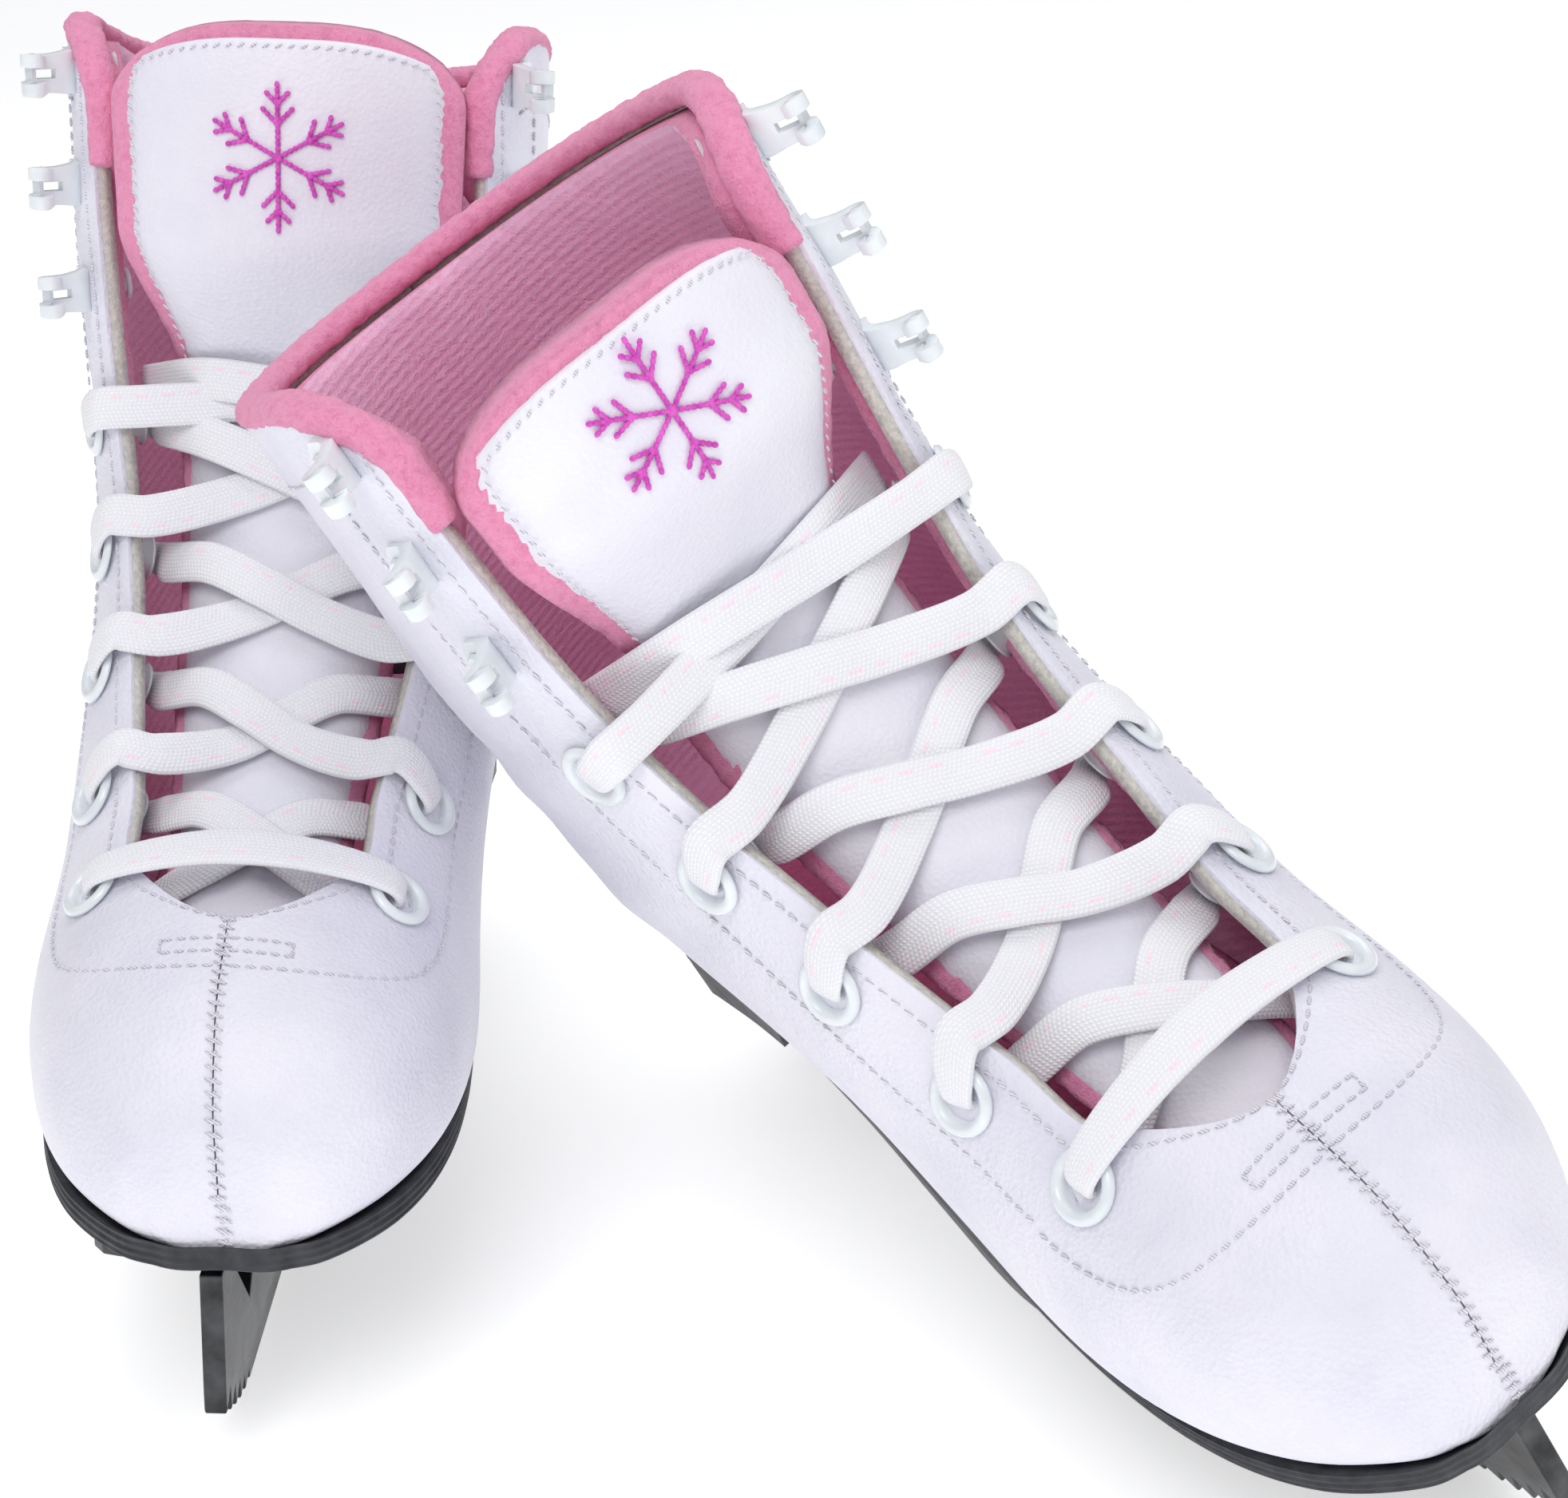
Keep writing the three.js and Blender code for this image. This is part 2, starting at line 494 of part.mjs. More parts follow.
// The lace's middle line as { at, normal } knots, from its left free end to its right free end.
function laceKnots(side) {
  const skinKnot = (u, distance, lift) => {
    const turn = Math.sign(distance) * walkTurn(side, u, Math.abs(distance));
    const normal = outward(side, u, turn);
    return { at: skin(side, u, turn, 0).addScaledVector(normal, lift), normal };
  };
  const tongueKnot = (u, x, lift) => ({
    at: tonguePoint(side, u, x / spline(tongueHalf, u), -lift),
    normal: outward(side, u, turnAt(u, x)),
  });
  const row = range(eyeletRows).map(eyeletStation);
  // Over the throat's edge and down to the tongue.
  const overEdge = (u, hand) => {
    const x = hand * (facingHalf(u) - 3.8);
    const normal = outward(side, u, turnAt(u, x)).multiplyScalar(0.6).add(V(-hand, 0, 0));
    return [skinKnot(u, hand, 2.8), { at: skin(side, u, turnAt(u, x), 2), normal: normal.normalize() }];
  };
  // Across the tongue from u on one hand to next on the other, then under the far facing.
  const across = (u, next, hand, start) => {
    const [from, to] = [hand * (facingHalf(u) - start), -hand * (facingHalf(next) - 2.5)];
    const lift = (share) => 2.3 + (hand > 0 ? crossLift * Math.sin(Math.PI * share) : 0);
    const on = [0.22, 0.5, 0.78].map((share) =>
      tongueKnot(THREE.MathUtils.lerp(u, next, share), THREE.MathUtils.lerp(from, to, share), lift(share)),
    );
    return [...on, skinKnot(next - 0.1, -hand * 2, laceUnder)];
  };
  const climb = (k, hand) => {
    const u = row[k];
    const next = k + 1 < eyeletRows ? row[k + 1] : u + 0.5;
    return [
      skinKnot(u, hand * eyeletSetBack, laceUnder),
      skinKnot(u, hand * eyeletSetBack, -4),
      skinKnot(u, hand * eyeletSetBack, 1.2),
      skinKnot(u + 0.03, hand * (eyeletSetBack - 3.4), 3),
      ...overEdge(u + 0.12, hand),
      ...across(u + 0.14, next, hand, 7),
    ];
  };
  const strand = (first) => range(eyeletRows - 1).flatMap((i) => climb(i + 1, i % 2 === 0 ? -first : first));
  const foot = (hand) => {
    const u = row[0];
    return [
      skinKnot(u, hand * (eyeletSetBack - 3.4), 3),
      skinKnot(u, hand * eyeletSetBack, 1.2),
      skinKnot(u, hand * eyeletSetBack, -4),
      skinKnot(u + 0.02, hand * eyeletSetBack, laceUnder),
      skinKnot(u + 0.14, hand * 1.5, laceUnder),
      ...across(u + 0.16, row[1], hand, 2.5),
    ];
  };
  const barNormal = outward(side, row[0], 0.001);
  const bar = { at: skin(side, row[0], 0, 0).addScaledVector(barNormal, 2.2), normal: barNormal };
  const right = [...foot(1), ...strand(1)];
  const left = [...foot(-1), ...strand(-1)];
  return [...left.reverse(), bar, ...right];
}

function lace(side) {
  const knots = laceKnots(side);
  const curve = new THREE.CatmullRomCurve3(knots.map((k) => k.at), false, "centripetal");
  const steps = knots.length - 1;
  const half = laceWidth / 2;
  const rim = [
    [-half, 0],
    [-half * 0.6, laceWall / 2],
    [half * 0.6, laceWall / 2],
    [half, 0],
    [half * 0.6, -laceWall / 2],
    [-half * 0.6, -laceWall / 2],
  ];
  const rings = range(steps + 1).map((i) => {
    const at = curve.getPoint(i / steps);
    const along = curve.getTangent(i / steps);
    const k = (i / steps) * (knots.length - 1);
    const near = knots[Math.floor(k)].normal.clone().lerp(knots[Math.ceil(k)].normal, k % 1);
    const across = along.clone().cross(near).normalize();
    const normal = across.clone().cross(along).normalize();
    return rim.map(([w, h]) => at.clone().addScaledVector(across, w).addScaledVector(normal, h));
  });
  const points = rings.flat();
  const faces = [];
  const n = rim.length;
  for (const i of range(steps))
    for (const j of range(n)) {
      const [a, b] = [i * n + j, i * n + ((j + 1) % n)];
      faces.push([a, b, b + n], [a, b + n, a + n]);
    }
  for (const j of range(n - 2)) {
    faces.push([0, j + 2, j + 1]);
    const end = steps * n;
    faces.push([end, end + j + 1, end + j + 2]);
  }
  const geometry = new THREE.BufferGeometry();
  geometry.setAttribute("position", new THREE.Float32BufferAttribute(points.flatMap((p) => [p.x, p.y, p.z]), 3));
  geometry.setIndex(faces.flat());
  return solid(geometry);
}

// ---- sole and blade ----
// Half the sole's width at shares of its length, from the heel to the toe.
const soleHalf = [0, 0.5, 0.63, 0.67, 0.68, 0.67, 0.67, 0.69, 0.73, 0.79, 0.86, 0.93, 0.98, 1.0, 0.98, 0.91, 0.75, 0];
function soleOutline(side, grow) {
  const rows = soleHalf.length - 1;
  const steps = 24;
  const bend = (share) => side * toeShift * (1 - smooth(0, 0.42, 1 - share));
  const rim = range(steps + 1).map((i) => {
    const angle = (i / steps) * Math.PI;
    const share = (1 - Math.cos(angle)) / 2;
    const body = (bootWidth / 2) * spline(soleHalf.slice(1, -1), share * (rows - 2));
    const round = Math.min(1, Math.pow(Math.sin(Math.PI * clamp(Math.min(share / 0.26, (1 - share) / 0.26) / 2, 0, 0.5)), 0.55));
    return { share, half: round * (body + grow), y: alongMm(0) + grow * (1 - 2 * share) - share * bootLength };
  });
  const right = rim.map((p) => [p.half + bend(p.share), p.y]);
  const left = rim.slice(1, -1).reverse().map((p) => [-p.half + bend(p.share), p.y]);
  return [...right, ...left];
}

// The feather line from the toe to the heel as [y, z], lowered by drop.
function featherLine(drop) {
  const points = range(19).map((i) => {
    const s = station(0.2 + (i / 18) * (heelSeat - 0.35));
    return [s.bottomY, s.bottomZ - drop - 0.3];
  });
  return [[alongMm(1.05), points[0][1] + 1], ...points, [alongMm(-0.05), points[18][1] + 0.4]];
}

function outsole(side) {
  const heelFront = alongMm(0) - heelLength;
  const [ballY, archY] = [alongMm(0.56), alongMm(0.42)];
  const under = [
    [alongMm(-0.05), heelPlateTop + gap],
    [heelFront, heelPlateTop + gap],
    [heelFront - 5, heightMm(0.085) - shankWall - gap],
    [archY, heightMm(0.06) - shankWall - gap],
    [ballY, frontPlateTop + gap],
    [alongMm(0.9), frontPlateTop + gap],
    [alongMm(1.05), frontPlateTop + gap + 4],
  ];
  const profile = sidePlate([...featherLine(gap), ...under], -bootWidth, bootWidth);
  return profile.intersect(planPlate(soleOutline(side, soleRim), 0, 200));
}

function roundedPlan(points, radius) {
  const shape = new THREE.Shape();
  points.forEach((p, i) => {
    const before = points[(i + points.length - 1) % points.length];
    const after = points[(i + 1) % points.length];
    const towards = (q) => {
      const length = Math.hypot(q[0] - p[0], q[1] - p[1]);
      return [p[0] + ((q[0] - p[0]) * radius) / length, p[1] + ((q[1] - p[1]) * radius) / length];
    };
    const [from, to] = [towards(before), towards(after)];
    if (i === 0) shape.moveTo(...from);
    else shape.lineTo(...from);
    shape.quadraticCurveTo(...p, ...to);
  });
  return shape.getPoints(3).map((p) => [p.x, p.y]);
}

// A sole plate with its screw heads underneath.
function plate(outline, top, screws) {
  const level = new THREE.Matrix4();
  let made = planPlate(roundedPlan(outline, 7), top - plateWall, top);
  for (const [x, y] of screws)
    made = made.add(peg(level.clone().setPosition(x, y, 0), 3.6, top - plateWall - 1.2, top - plateWall + 0.2, 6));
  return made;
}

const plateHoleInset = 8;
const frontPlate = { from: 0.58, to: 0.93, half: 25 };
const heelPlate = { from: 0.045, to: 0.235, half: 18 };
function plates() {
  const outline = (p) => [
    [p.half, alongMm(p.from)],
    [p.half, alongMm(p.to)],
    [-p.half, alongMm(p.to)],
    [-p.half, alongMm(p.from)],
  ];
  const grid = (p, shares) =>
    shares.flatMap((share) => [1, -1].map((hand) => [hand * (p.half - 8), alongMm(THREE.MathUtils.lerp(p.from, p.to, share))]));
  return {
    front_plate: plate(outline(frontPlate), frontPlateTop, grid(frontPlate, [0.12, 0.5, 0.88])),
    heel_plate: plate(outline(heelPlate), heelPlateTop, grid(heelPlate, [0.2, 0.8])),
  };
}

function runner() {
  const middle = alongMm(0.42);
  const rocker = (y) => rockerRadius - Math.sqrt(rockerRadius ** 2 - (y - middle) ** 2);
  const toeFront = alongMm(0.955);
  const pickStart = alongMm(0.865);
  const heelEnd = alongMm(-0.01);
  const frontTop = frontPlateTop - plateWall - gap;
  const heelTop = heelPlateTop - plateWall - gap;
  const points = [[heelEnd, 12], [heelEnd - 5, 4]];
  const flats = 9;
  for (const i of range(flats + 1)) {
    const y = THREE.MathUtils.lerp(heelEnd - 12, pickStart, i / flats);
    points.push([y, rocker(y)]);
  }
  const pickRise = 9;
  for (const i of range(pickTeeth)) {
    const [a, b] = [i / pickTeeth, (i + 1) / pickTeeth];
    const at = (share) => THREE.MathUtils.lerp(pickStart, toeFront, share);
    const rise = (share) => rocker(pickStart) + pickRise * Math.pow(share, 1.3);
    points.push([at(a + 0.12 / pickTeeth), rise(b) + 0.8], [at(b), rise(a) + 0.5]);
  }
  points.push([toeFront, 14], [toeFront + 1.5, frontTop], [alongMm(0.6), frontTop]);
  points.push([alongMm(0.62) + 2, frontTop - 8], [alongMm(0.55), runnerHeight + 2], [alongMm(0.5), runnerHeight]);
  points.push([alongMm(0.3), runnerHeight], [alongMm(0.24), runnerHeight + 3], [alongMm(0.22), heelTop - 8]);
  points.push([alongMm(0.225), heelTop], [alongMm(0.05), heelTop], [alongMm(0.035), heelTop - 9], [alongMm(0.0), 17]);
  const bar = sidePlate(points, -bladeWall / 2, bladeWall / 2);
  const windowOf = (outline) => sidePlate(outline, -bladeWall, bladeWall);
  const front = windowOf([
    [alongMm(0.9), frontTop - 5],
    [alongMm(0.85), 17],
    [alongMm(0.79), frontTop - 5],
  ]);
  const rear = windowOf([
    [alongMm(0.19), heelTop - 5],
    [alongMm(0.18), 18],
    [alongMm(0.1), 18],
    [alongMm(0.08), heelTop - 5],
  ]);
  return bar.subtract(front).subtract(rear);
}

// ---- one skate ----
function skate(side) {
  const pieces = new Map();
  const holes = [];
  const hands = [
    ["left", -1],
    ["right", 1],
  ];
  for (const [word, hand] of hands) {
    for (const row of range(eyeletRows)) {
      const frame = facingFrame(side, eyeletStation(row), hand, eyeletSetBack);
      pieces.set(`eyelet_${word}_${row + 1}`, [eyelet(frame), whiteEnamel]);
      holes.push(peg(frame, eyeletBarrel + gap, -throughWall - 4, 6, eyeletSides));
    }
    for (const row of range(hookRows)) {
      const frame = facingFrame(side, hookStation(row), hand, hookSetBack);
      pieces.set(`hook_${word}_${row + 1}`, [hook(frame), whiteEnamel]);
      holes.push(peg(frame, rivetShank + gap, -throughWall - 4, 6, 6, rivetAt));
    }
  }
  const drilled = (made) => holes.reduce((left, hole) => left.subtract(hole), made);
  pieces.set("upper_left", [drilled(upperHalf(side, -1)), leatherette]);
  pieces.set("upper_right", [drilled(upperHalf(side, 1)), leatherette]);
  pieces.set("backstay", [backstay(side), leatherette]);
  pieces.set("lining", [drilled(lining(side)), fleece]);
  const boardTurn = () => Math.PI - marginTurn - 0.012;
  pieces.set("lasting_board", [bottomBoard(side, 1.6, heelSeat - 1.6, boardTurn, 0, boardWall), boardCard]);
  const bedTurn = () => 0.3 * Math.PI;
  pieces.set("footbed", [bottomBoard(side, 2.6, heelSeat - 0.6, bedTurn, innerDepth + 0.9, innerDepth + 0.9 + footbedWall), fleece]);
  pieces.set("tongue_lower", [tonguePiece(side, throatStart - 1, flexStation - flexGap, 12, tongueThick), leatherette]);
  pieces.set("tongue_pad", [tonguePiece(side, flexStation + flexGap, tongueTopOf(side), 8, tongueThick), leatherette]);
  pieces.set("lace", [lace(side), laceCotton]);
  pieces.set("outsole", [outsole(side), solePlastic]);
  for (const [name, made] of Object.entries(plates())) pieces.set(name, [made, bladeSteel]);
  pieces.set("runner", [runner(), bladeSteel]);
  return pieces;
}

function group(prefix, pieces) {
  const made = new THREE.Group();
  for (const [name, [manifold, material]] of pieces) {
    const mesh = new THREE.Mesh(geometryOf(manifold), material);
    mesh.name = `${prefix}_${name}`;
    made.add(mesh);
  }
  return made;
}

// Turns and places one skate in the pair, its blade on the ice.
function stand(prefix, side, pose) {
  const made = group(prefix, skate(side));
  const [turn, lean, pitch] = pose.degrees.map((d) => THREE.MathUtils.degToRad(d));
  made.rotation.set(pitch, lean, turn, "ZYX");
  made.position.set(pose.x, pose.y, 0);
  made.updateMatrixWorld(true);
  made.position.z = -new THREE.Box3().setFromObject(made, true).min.z;
  return made;
}

const pair = new THREE.Group();
pair.add(stand("right", 1, rightPose), stand("left", -1, leftPose));
const extent = new THREE.Box3().setFromObject(pair, true);
pair.position.set(-(extent.min.x + extent.max.x) / 2, -(extent.min.y + extent.max.y) / 2, 0);
export default pair;
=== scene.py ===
# %% [markdown]
# # A pair of figure skates for ice
#
# The real pair is two white leatherette boots with a pink fleece lining, each on a black sole and a steel blade.
# One stands upright and the other leans on it. A boot is a skin wrapped round a wooden foot called a last, so
# nearly every soft piece here is a grid of points laid on one last. The alternative is to sculpt each piece by
# eye, but then neighbours don't fit. One last keeps the seams, the facings and the lining in step.

# %% Load the frame
import math

import bmesh
import bpy
import numpy as np
from mathutils import Matrix, Vector, noise


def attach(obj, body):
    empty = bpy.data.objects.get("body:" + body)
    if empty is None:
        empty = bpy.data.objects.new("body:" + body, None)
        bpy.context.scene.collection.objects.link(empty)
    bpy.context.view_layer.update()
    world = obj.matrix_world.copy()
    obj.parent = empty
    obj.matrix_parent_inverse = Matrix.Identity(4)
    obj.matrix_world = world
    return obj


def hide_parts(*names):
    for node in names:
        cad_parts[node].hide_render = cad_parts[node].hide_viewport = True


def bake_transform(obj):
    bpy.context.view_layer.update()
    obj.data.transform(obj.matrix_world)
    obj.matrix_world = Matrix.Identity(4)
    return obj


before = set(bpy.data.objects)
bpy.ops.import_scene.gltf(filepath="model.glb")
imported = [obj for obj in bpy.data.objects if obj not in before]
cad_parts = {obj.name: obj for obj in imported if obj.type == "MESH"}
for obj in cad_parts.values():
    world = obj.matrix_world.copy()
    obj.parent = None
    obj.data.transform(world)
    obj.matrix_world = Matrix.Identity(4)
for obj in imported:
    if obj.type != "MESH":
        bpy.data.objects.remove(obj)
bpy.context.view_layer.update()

# %% [markdown]
# ## Camera, floor and light
#
# The pair is a catalogue shot: a camera a little above the toes, a pale floor and broad soft light. Area lights
# give the soft edges of a studio box. A sun would be simpler, but its shadows are hard.

# %% Camera
camera_data = bpy.data.cameras.new("camera")
camera = bpy.data.objects.new("camera", camera_data)
bpy.context.collection.objects.link(camera)
camera_data.sensor_width = 36
camera_data.lens = 65.99
camera_data.clip_start = 0.01
camera.rotation_euler = [math.radians(a) for a in (67.25, 5.18, -0.17)]
camera.location = (0.0278, -0.4707, 0.2858)
bpy.context.scene.camera = camera
print("camera at", tuple(round(c, 3) for c in camera.location))

# %% Floor and lights
floor_mesh = bpy.data.meshes.new("floor")
bm = bmesh.new()
bmesh.ops.create_grid(bm, x_segments=2, y_segments=2, size=6)
bm.to_mesh(floor_mesh)
floor = bpy.data.objects.new("floor", floor_mesh)
bpy.context.collection.objects.link(floor)
paper = bpy.data.materials.new("paper")
paper.use_nodes = True
paper_sockets = paper.node_tree.nodes["Principled BSDF"].inputs
paper_sockets["Base Color"].default_value = (0.93, 0.93, 0.94, 1)
paper_sockets["Roughness"].default_value = 0.7
paper_sockets["Emission Color"].default_value = (1, 1, 1, 1)
paper_sockets["Emission Strength"].default_value = 0.55
floor_mesh.materials.append(paper)


def soft_box(name, place, size, power):
    """A rectangular lamp aimed at the middle of the pair."""
    data = bpy.data.lights.new(name, "AREA")
    data.shape = "RECTANGLE"
    data.size, data.size_y = size
    data.energy = power
    lamp = bpy.data.objects.new(name, data)
    bpy.context.collection.objects.link(lamp)
    lamp.location = place
    lamp.rotation_euler = (Vector((0, 0, 0.1)) - Vector(place)).to_track_quat("-Z", "Y").to_euler()


soft_box("key", (-0.15, -0.8, 0.95), (0.7, 0.6), 5.1)
soft_box("fill", (0.9, -0.6, 0.6), (0.9, 0.9), 1.2)
soft_box("top", (0.1, 0.2, 1.1), (1.0, 0.8), 4.2)
world = bpy.data.worlds.new("studio")
world.use_nodes = True
world.node_tree.nodes["Background"].inputs["Color"].default_value = (0.96, 0.97, 1, 1)
world.node_tree.nodes["Background"].inputs["Strength"].default_value = 0.41
bpy.context.scene.world = world
bpy.context.scene.view_settings.view_transform = "Standard"

# %% [markdown]
# ## Finishes
#
# Each finish is a node tree that starts from the piece's own coordinates, so it stays put when the piece moves.
# A small kit of helpers keeps each tree short: noise, a ramp between two colours, and a bump.


# %% Shader helpers
class Finish:
    """One material and short calls for its nodes."""

    def __init__(self, name, **sockets):
        self.material = bpy.data.materials.new(name)
        self.material.use_nodes = True
        self.tree = self.material.node_tree
        self.shader = self.tree.nodes["Principled BSDF"]
        for key, value in sockets.items():
            self.shader.inputs[key.replace("_", " ")].default_value = value

    def node(self, kind, links=(), **values):
        made = self.tree.nodes.new("ShaderNode" + kind)
        for key, value in values.items():
            if hasattr(made, key):
                setattr(made, key, value)
            else:
                made.inputs[key.replace("_", " ")].default_value = value
        for socket, source in links:
            self.tree.links.new(source, made.inputs[socket])
        return made

    def place(self, kind="Object"):
        return self.node("TexCoord").outputs[kind]

    def noise(self, scale, detail=2.0, rough=0.5, place=None):
        source = place or self.place()
        made = self.node("TexNoise", [("Vector", source)], Scale=scale, Detail=detail, Roughness=rough)
        return made.outputs["Fac"]

    def cells(self, scale):
        return self.node("TexVoronoi", [("Vector", self.place())], Scale=scale).outputs["Distance"]

    def maths(self, operation, a, b=None, c=None):
        made = self.node("Math", operation=operation)
        for i, value in enumerate((a, b, c)):
            if value is None:
                continue
            if isinstance(value, (int, float)):
                made.inputs[i].default_value = value
            else:
                self.tree.links.new(value, made.inputs[i])
        return made.outputs[0]

    def ramp(self, factor, stops):
        made = self.node("ValToRGB", [("Fac", factor)])
        bar = made.color_ramp
        while len(bar.elements) < len(stops):
            bar.elements.new(0.5)
        for element, (at, colour) in zip(bar.elements, stops):
            element.position = at
            element.color = (*colour, 1)
        return made.outputs["Color"]

    def colour(self, source):
        self.tree.links.new(source, self.shader.inputs["Base Color"])

    def mottle(self, scale, detail, *stops):
        self.colour(self.ramp(self.noise(scale, detail), stops))

    def rough(self, source, low, high):
        made = self.node("MapRange", [("Value", source)])
        made.inputs["To Min"].default_value = low
        made.inputs["To Max"].default_value = high
        self.tree.links.new(made.outputs[0], self.shader.inputs["Roughness"])

    def bump(self, height, distance, strength=1.0, under=None):
        made = self.node("Bump", [("Height", height)], Distance=distance, Strength=strength)
        if under is not None:
            self.tree.links.new(under.outputs[0], made.inputs["Normal"])
        self.tree.links.new(made.outputs[0], self.shader.inputs["Normal"])
        return made


# %% [markdown]
# Leatherette is a white vinyl film pressed with a fine hide grain: small cells with soft ridges between them, and
# a few broader wrinkles. It is slightly lilac, half glossy, and greyer in the creases.


# %% Leatherette
def make_leatherette(name, light, shade, grain=1.0):
    finish = Finish(name, Roughness=0.42, Specular_IOR_Level=0.42, Coat_Weight=0.06, Coat_Roughness=0.3)
    broad = finish.noise(38, 4, 0.55)
    finish.colour(finish.ramp(broad, [(0.32, shade), (0.62, light)]))
    cell = finish.cells(1150)
    fine = finish.noise(2600, 2, 0.6)
    wrinkle = finish.noise(240, 3, 0.6)
    finish.rough(cell, 0.36, 0.56)
    mixed = finish.maths("MULTIPLY_ADD", fine, 0.35, cell)
    first = finish.bump(wrinkle, 0.0004, 0.35 * grain)
    finish.bump(mixed, 0.00022, 0.75 * grain, first)
    return finish.material


leatherette = make_leatherette("leatherette", (0.83, 0.82, 0.9), (0.74, 0.73, 0.83))
tongue_vinyl = make_leatherette("tongue_vinyl", (0.86, 0.85, 0.92), (0.79, 0.78, 0.87), 0.7)

# %% [markdown]
# The fleece is a rich pink knitted pile. Seen close, it is clumps of fibre a millimetre or two across, and sheen at
# grazing angles. The colour follows the pile's height, so the gaps between clumps are painted darker: painted shade
# in the hollows. Inside the shaft it is ribbed in diagonal rows, and that inner fleece is painted much lighter than
# the outer fleece: painted light standing in for the light that the shaft's own shade takes away. Real hair strands
# would be heavier than the rest of the model together, so the pile is colour, bump, sheen and a rough mesh surface.


# %% Fleece
def make_fleece(name, light, hollow_shade, ribs):
    finish = Finish(name, Roughness=0.95, Specular_IOR_Level=0.1)
    finish.shader.inputs["Sheen Weight"].default_value = 0.55
    finish.shader.inputs["Sheen Roughness"].default_value = 0.45
    finish.shader.inputs["Sheen Tint"].default_value = (1, 0.72, 0.85, 1)
    clump = finish.noise(620, 4, 0.7)
    fibre = finish.noise(2400, 3, 0.7)
    height = finish.maths("MULTIPLY_ADD", fibre, 0.5, clump)
    if ribs:
        turned = finish.node("Mapping", [("Vector", finish.place())])
        turned.inputs["Rotation"].default_value = (0.0, math.radians(38), math.radians(20))
        wave = finish.node("TexWave", [("Vector", turned.outputs[0])], bands_direction="Z", Scale=190.0,
                           Distortion=0.5, Detail=1.0)
        wave.inputs["Detail Scale"].default_value = 2.0
        height = finish.maths("MULTIPLY_ADD", wave.outputs["Fac"], 0.2, height)
    # The colour follows the pile's height: its darker stop is painted shade in the gaps between clumps and in the
    # rib grooves.
    finish.colour(finish.ramp(height, [(0.3, hollow_shade), (1.05 if ribs else 0.8, light)]))
    finish.bump(height, 0.0007 if ribs else 0.0011, 0.8)
    return finish.material


fleece = make_fleece("fleece", (0.96, 0.36, 0.57), (0.76, 0.17, 0.36), False)
# The ribbed inner fleece is a lighter copy of the fleece: painted light inside the shaft, on top of its real ribs.
ribbed_fleece_painted_light = make_fleece("ribbed_fleece_painted_light", (1.0, 0.6, 0.82), (1.0, 0.4, 0.66), True)

# %% [markdown]
# The other finishes: the raw grey edge of the stiffener board, white enamel on the fittings, woven cotton tape,
# thread, the moulded black sole, and the ground steel of the blade.


# %% Board, enamel, thread
board = Finish("stiffener_board", Roughness=0.9)
board.colour(board.ramp(board.noise(900, 3, 0.7), [(0.3, (0.47, 0.45, 0.41)), (0.7, (0.72, 0.69, 0.64))]))
board.bump(board.noise(1500, 3), 0.0004, 0.6)

enamel = Finish("white_enamel", Roughness=0.24, Specular_IOR_Level=0.6, Coat_Weight=0.4, Coat_Roughness=0.12)
enamel.mottle(160, 3, (0.35, (0.74, 0.79, 0.82)), (0.65, (0.84, 0.88, 0.9)))
enamel.bump(enamel.noise(420, 2), 0.0002, 0.25)

thread = Finish("thread", Roughness=0.6, Sheen_Weight=0.2)
twist = thread.node("TexWave", [("Vector", thread.place())], Scale=900.0, Distortion=1.0,
                    bands_direction="DIAGONAL")
# The colour follows the twist's bump: its darker bands are painted shade in the grooves between the plies.
thread.colour(thread.ramp(twist.outputs["Fac"], [(0.2, (0.5, 0.48, 0.54)), (0.8, (0.84, 0.83, 0.89))]))
thread.bump(twist.outputs["Fac"], 0.0001, 0.5)

pink_thread = Finish("pink_thread", Roughness=0.6, Sheen_Weight=0.2)
pink_thread.mottle(800, 2, (0.3, (0.55, 0.03, 0.42)), (0.7, (0.8, 0.12, 0.62)))
pink_thread.bump(pink_thread.noise(1600, 2), 0.0002, 0.5)

# %% Woven tape of the lace
# The weave follows the tape: u runs across it and v along it, one unit of v to each millimetre.
lace_cotton = Finish("lace_cotton", Roughness=0.8, Sheen_Weight=0.25, Specular_IOR_Level=0.2)
parts = lace_cotton.node("SeparateXYZ", [("Vector", lace_cotton.place("UV"))])
across, along = parts.outputs["X"], parts.outputs["Y"]


maths = lace_cotton.maths
fleck_pitch, fleck_band = 4.6, (0.71, 0.8)


def wave_of(source, pitch):
    """A sine from 0 to 1 with that pitch."""
    return maths("MULTIPLY_ADD", maths("SINE", maths("MULTIPLY_ADD", source, 2 * math.pi / pitch, 0.0)), 0.5, 0.5)


warp = wave_of(across, 1 / 11)
slant = maths("MULTIPLY_ADD", maths("ABSOLUTE", maths("SUBTRACT", across, 0.5)), 3.0, along)
weave = maths("MULTIPLY", warp, wave_of(slant, 0.8))
# The pink flecks are dashes in one band, and noise leaves some out.
fleck = maths("GREATER_THAN", wave_of(along, fleck_pitch), 0.5)
for mask in (
    maths("GREATER_THAN", lace_cotton.noise(150, 2), 0.45),
    maths("GREATER_THAN", across, fleck_band[0]),
    maths("LESS_THAN", across, fleck_band[1]),
):
    fleck = maths("MULTIPLY", fleck, mask)
# The white yarn is painted greyer where the weave is low: painted shade in the hollows between the yarns.
white_yarn = lace_cotton.ramp(weave, [(0.0, (0.82, 0.82, 0.86)), (0.6, (0.96, 0.96, 0.98))])
mixed = lace_cotton.node("Mix", [(0, fleck), (6, white_yarn)], data_type="RGBA")
mixed.inputs[7].default_value = (0.96, 0.79, 0.87, 1)
lace_cotton.colour(mixed.outputs[2])
lace_cotton.bump(weave, 0.00025, 0.55)

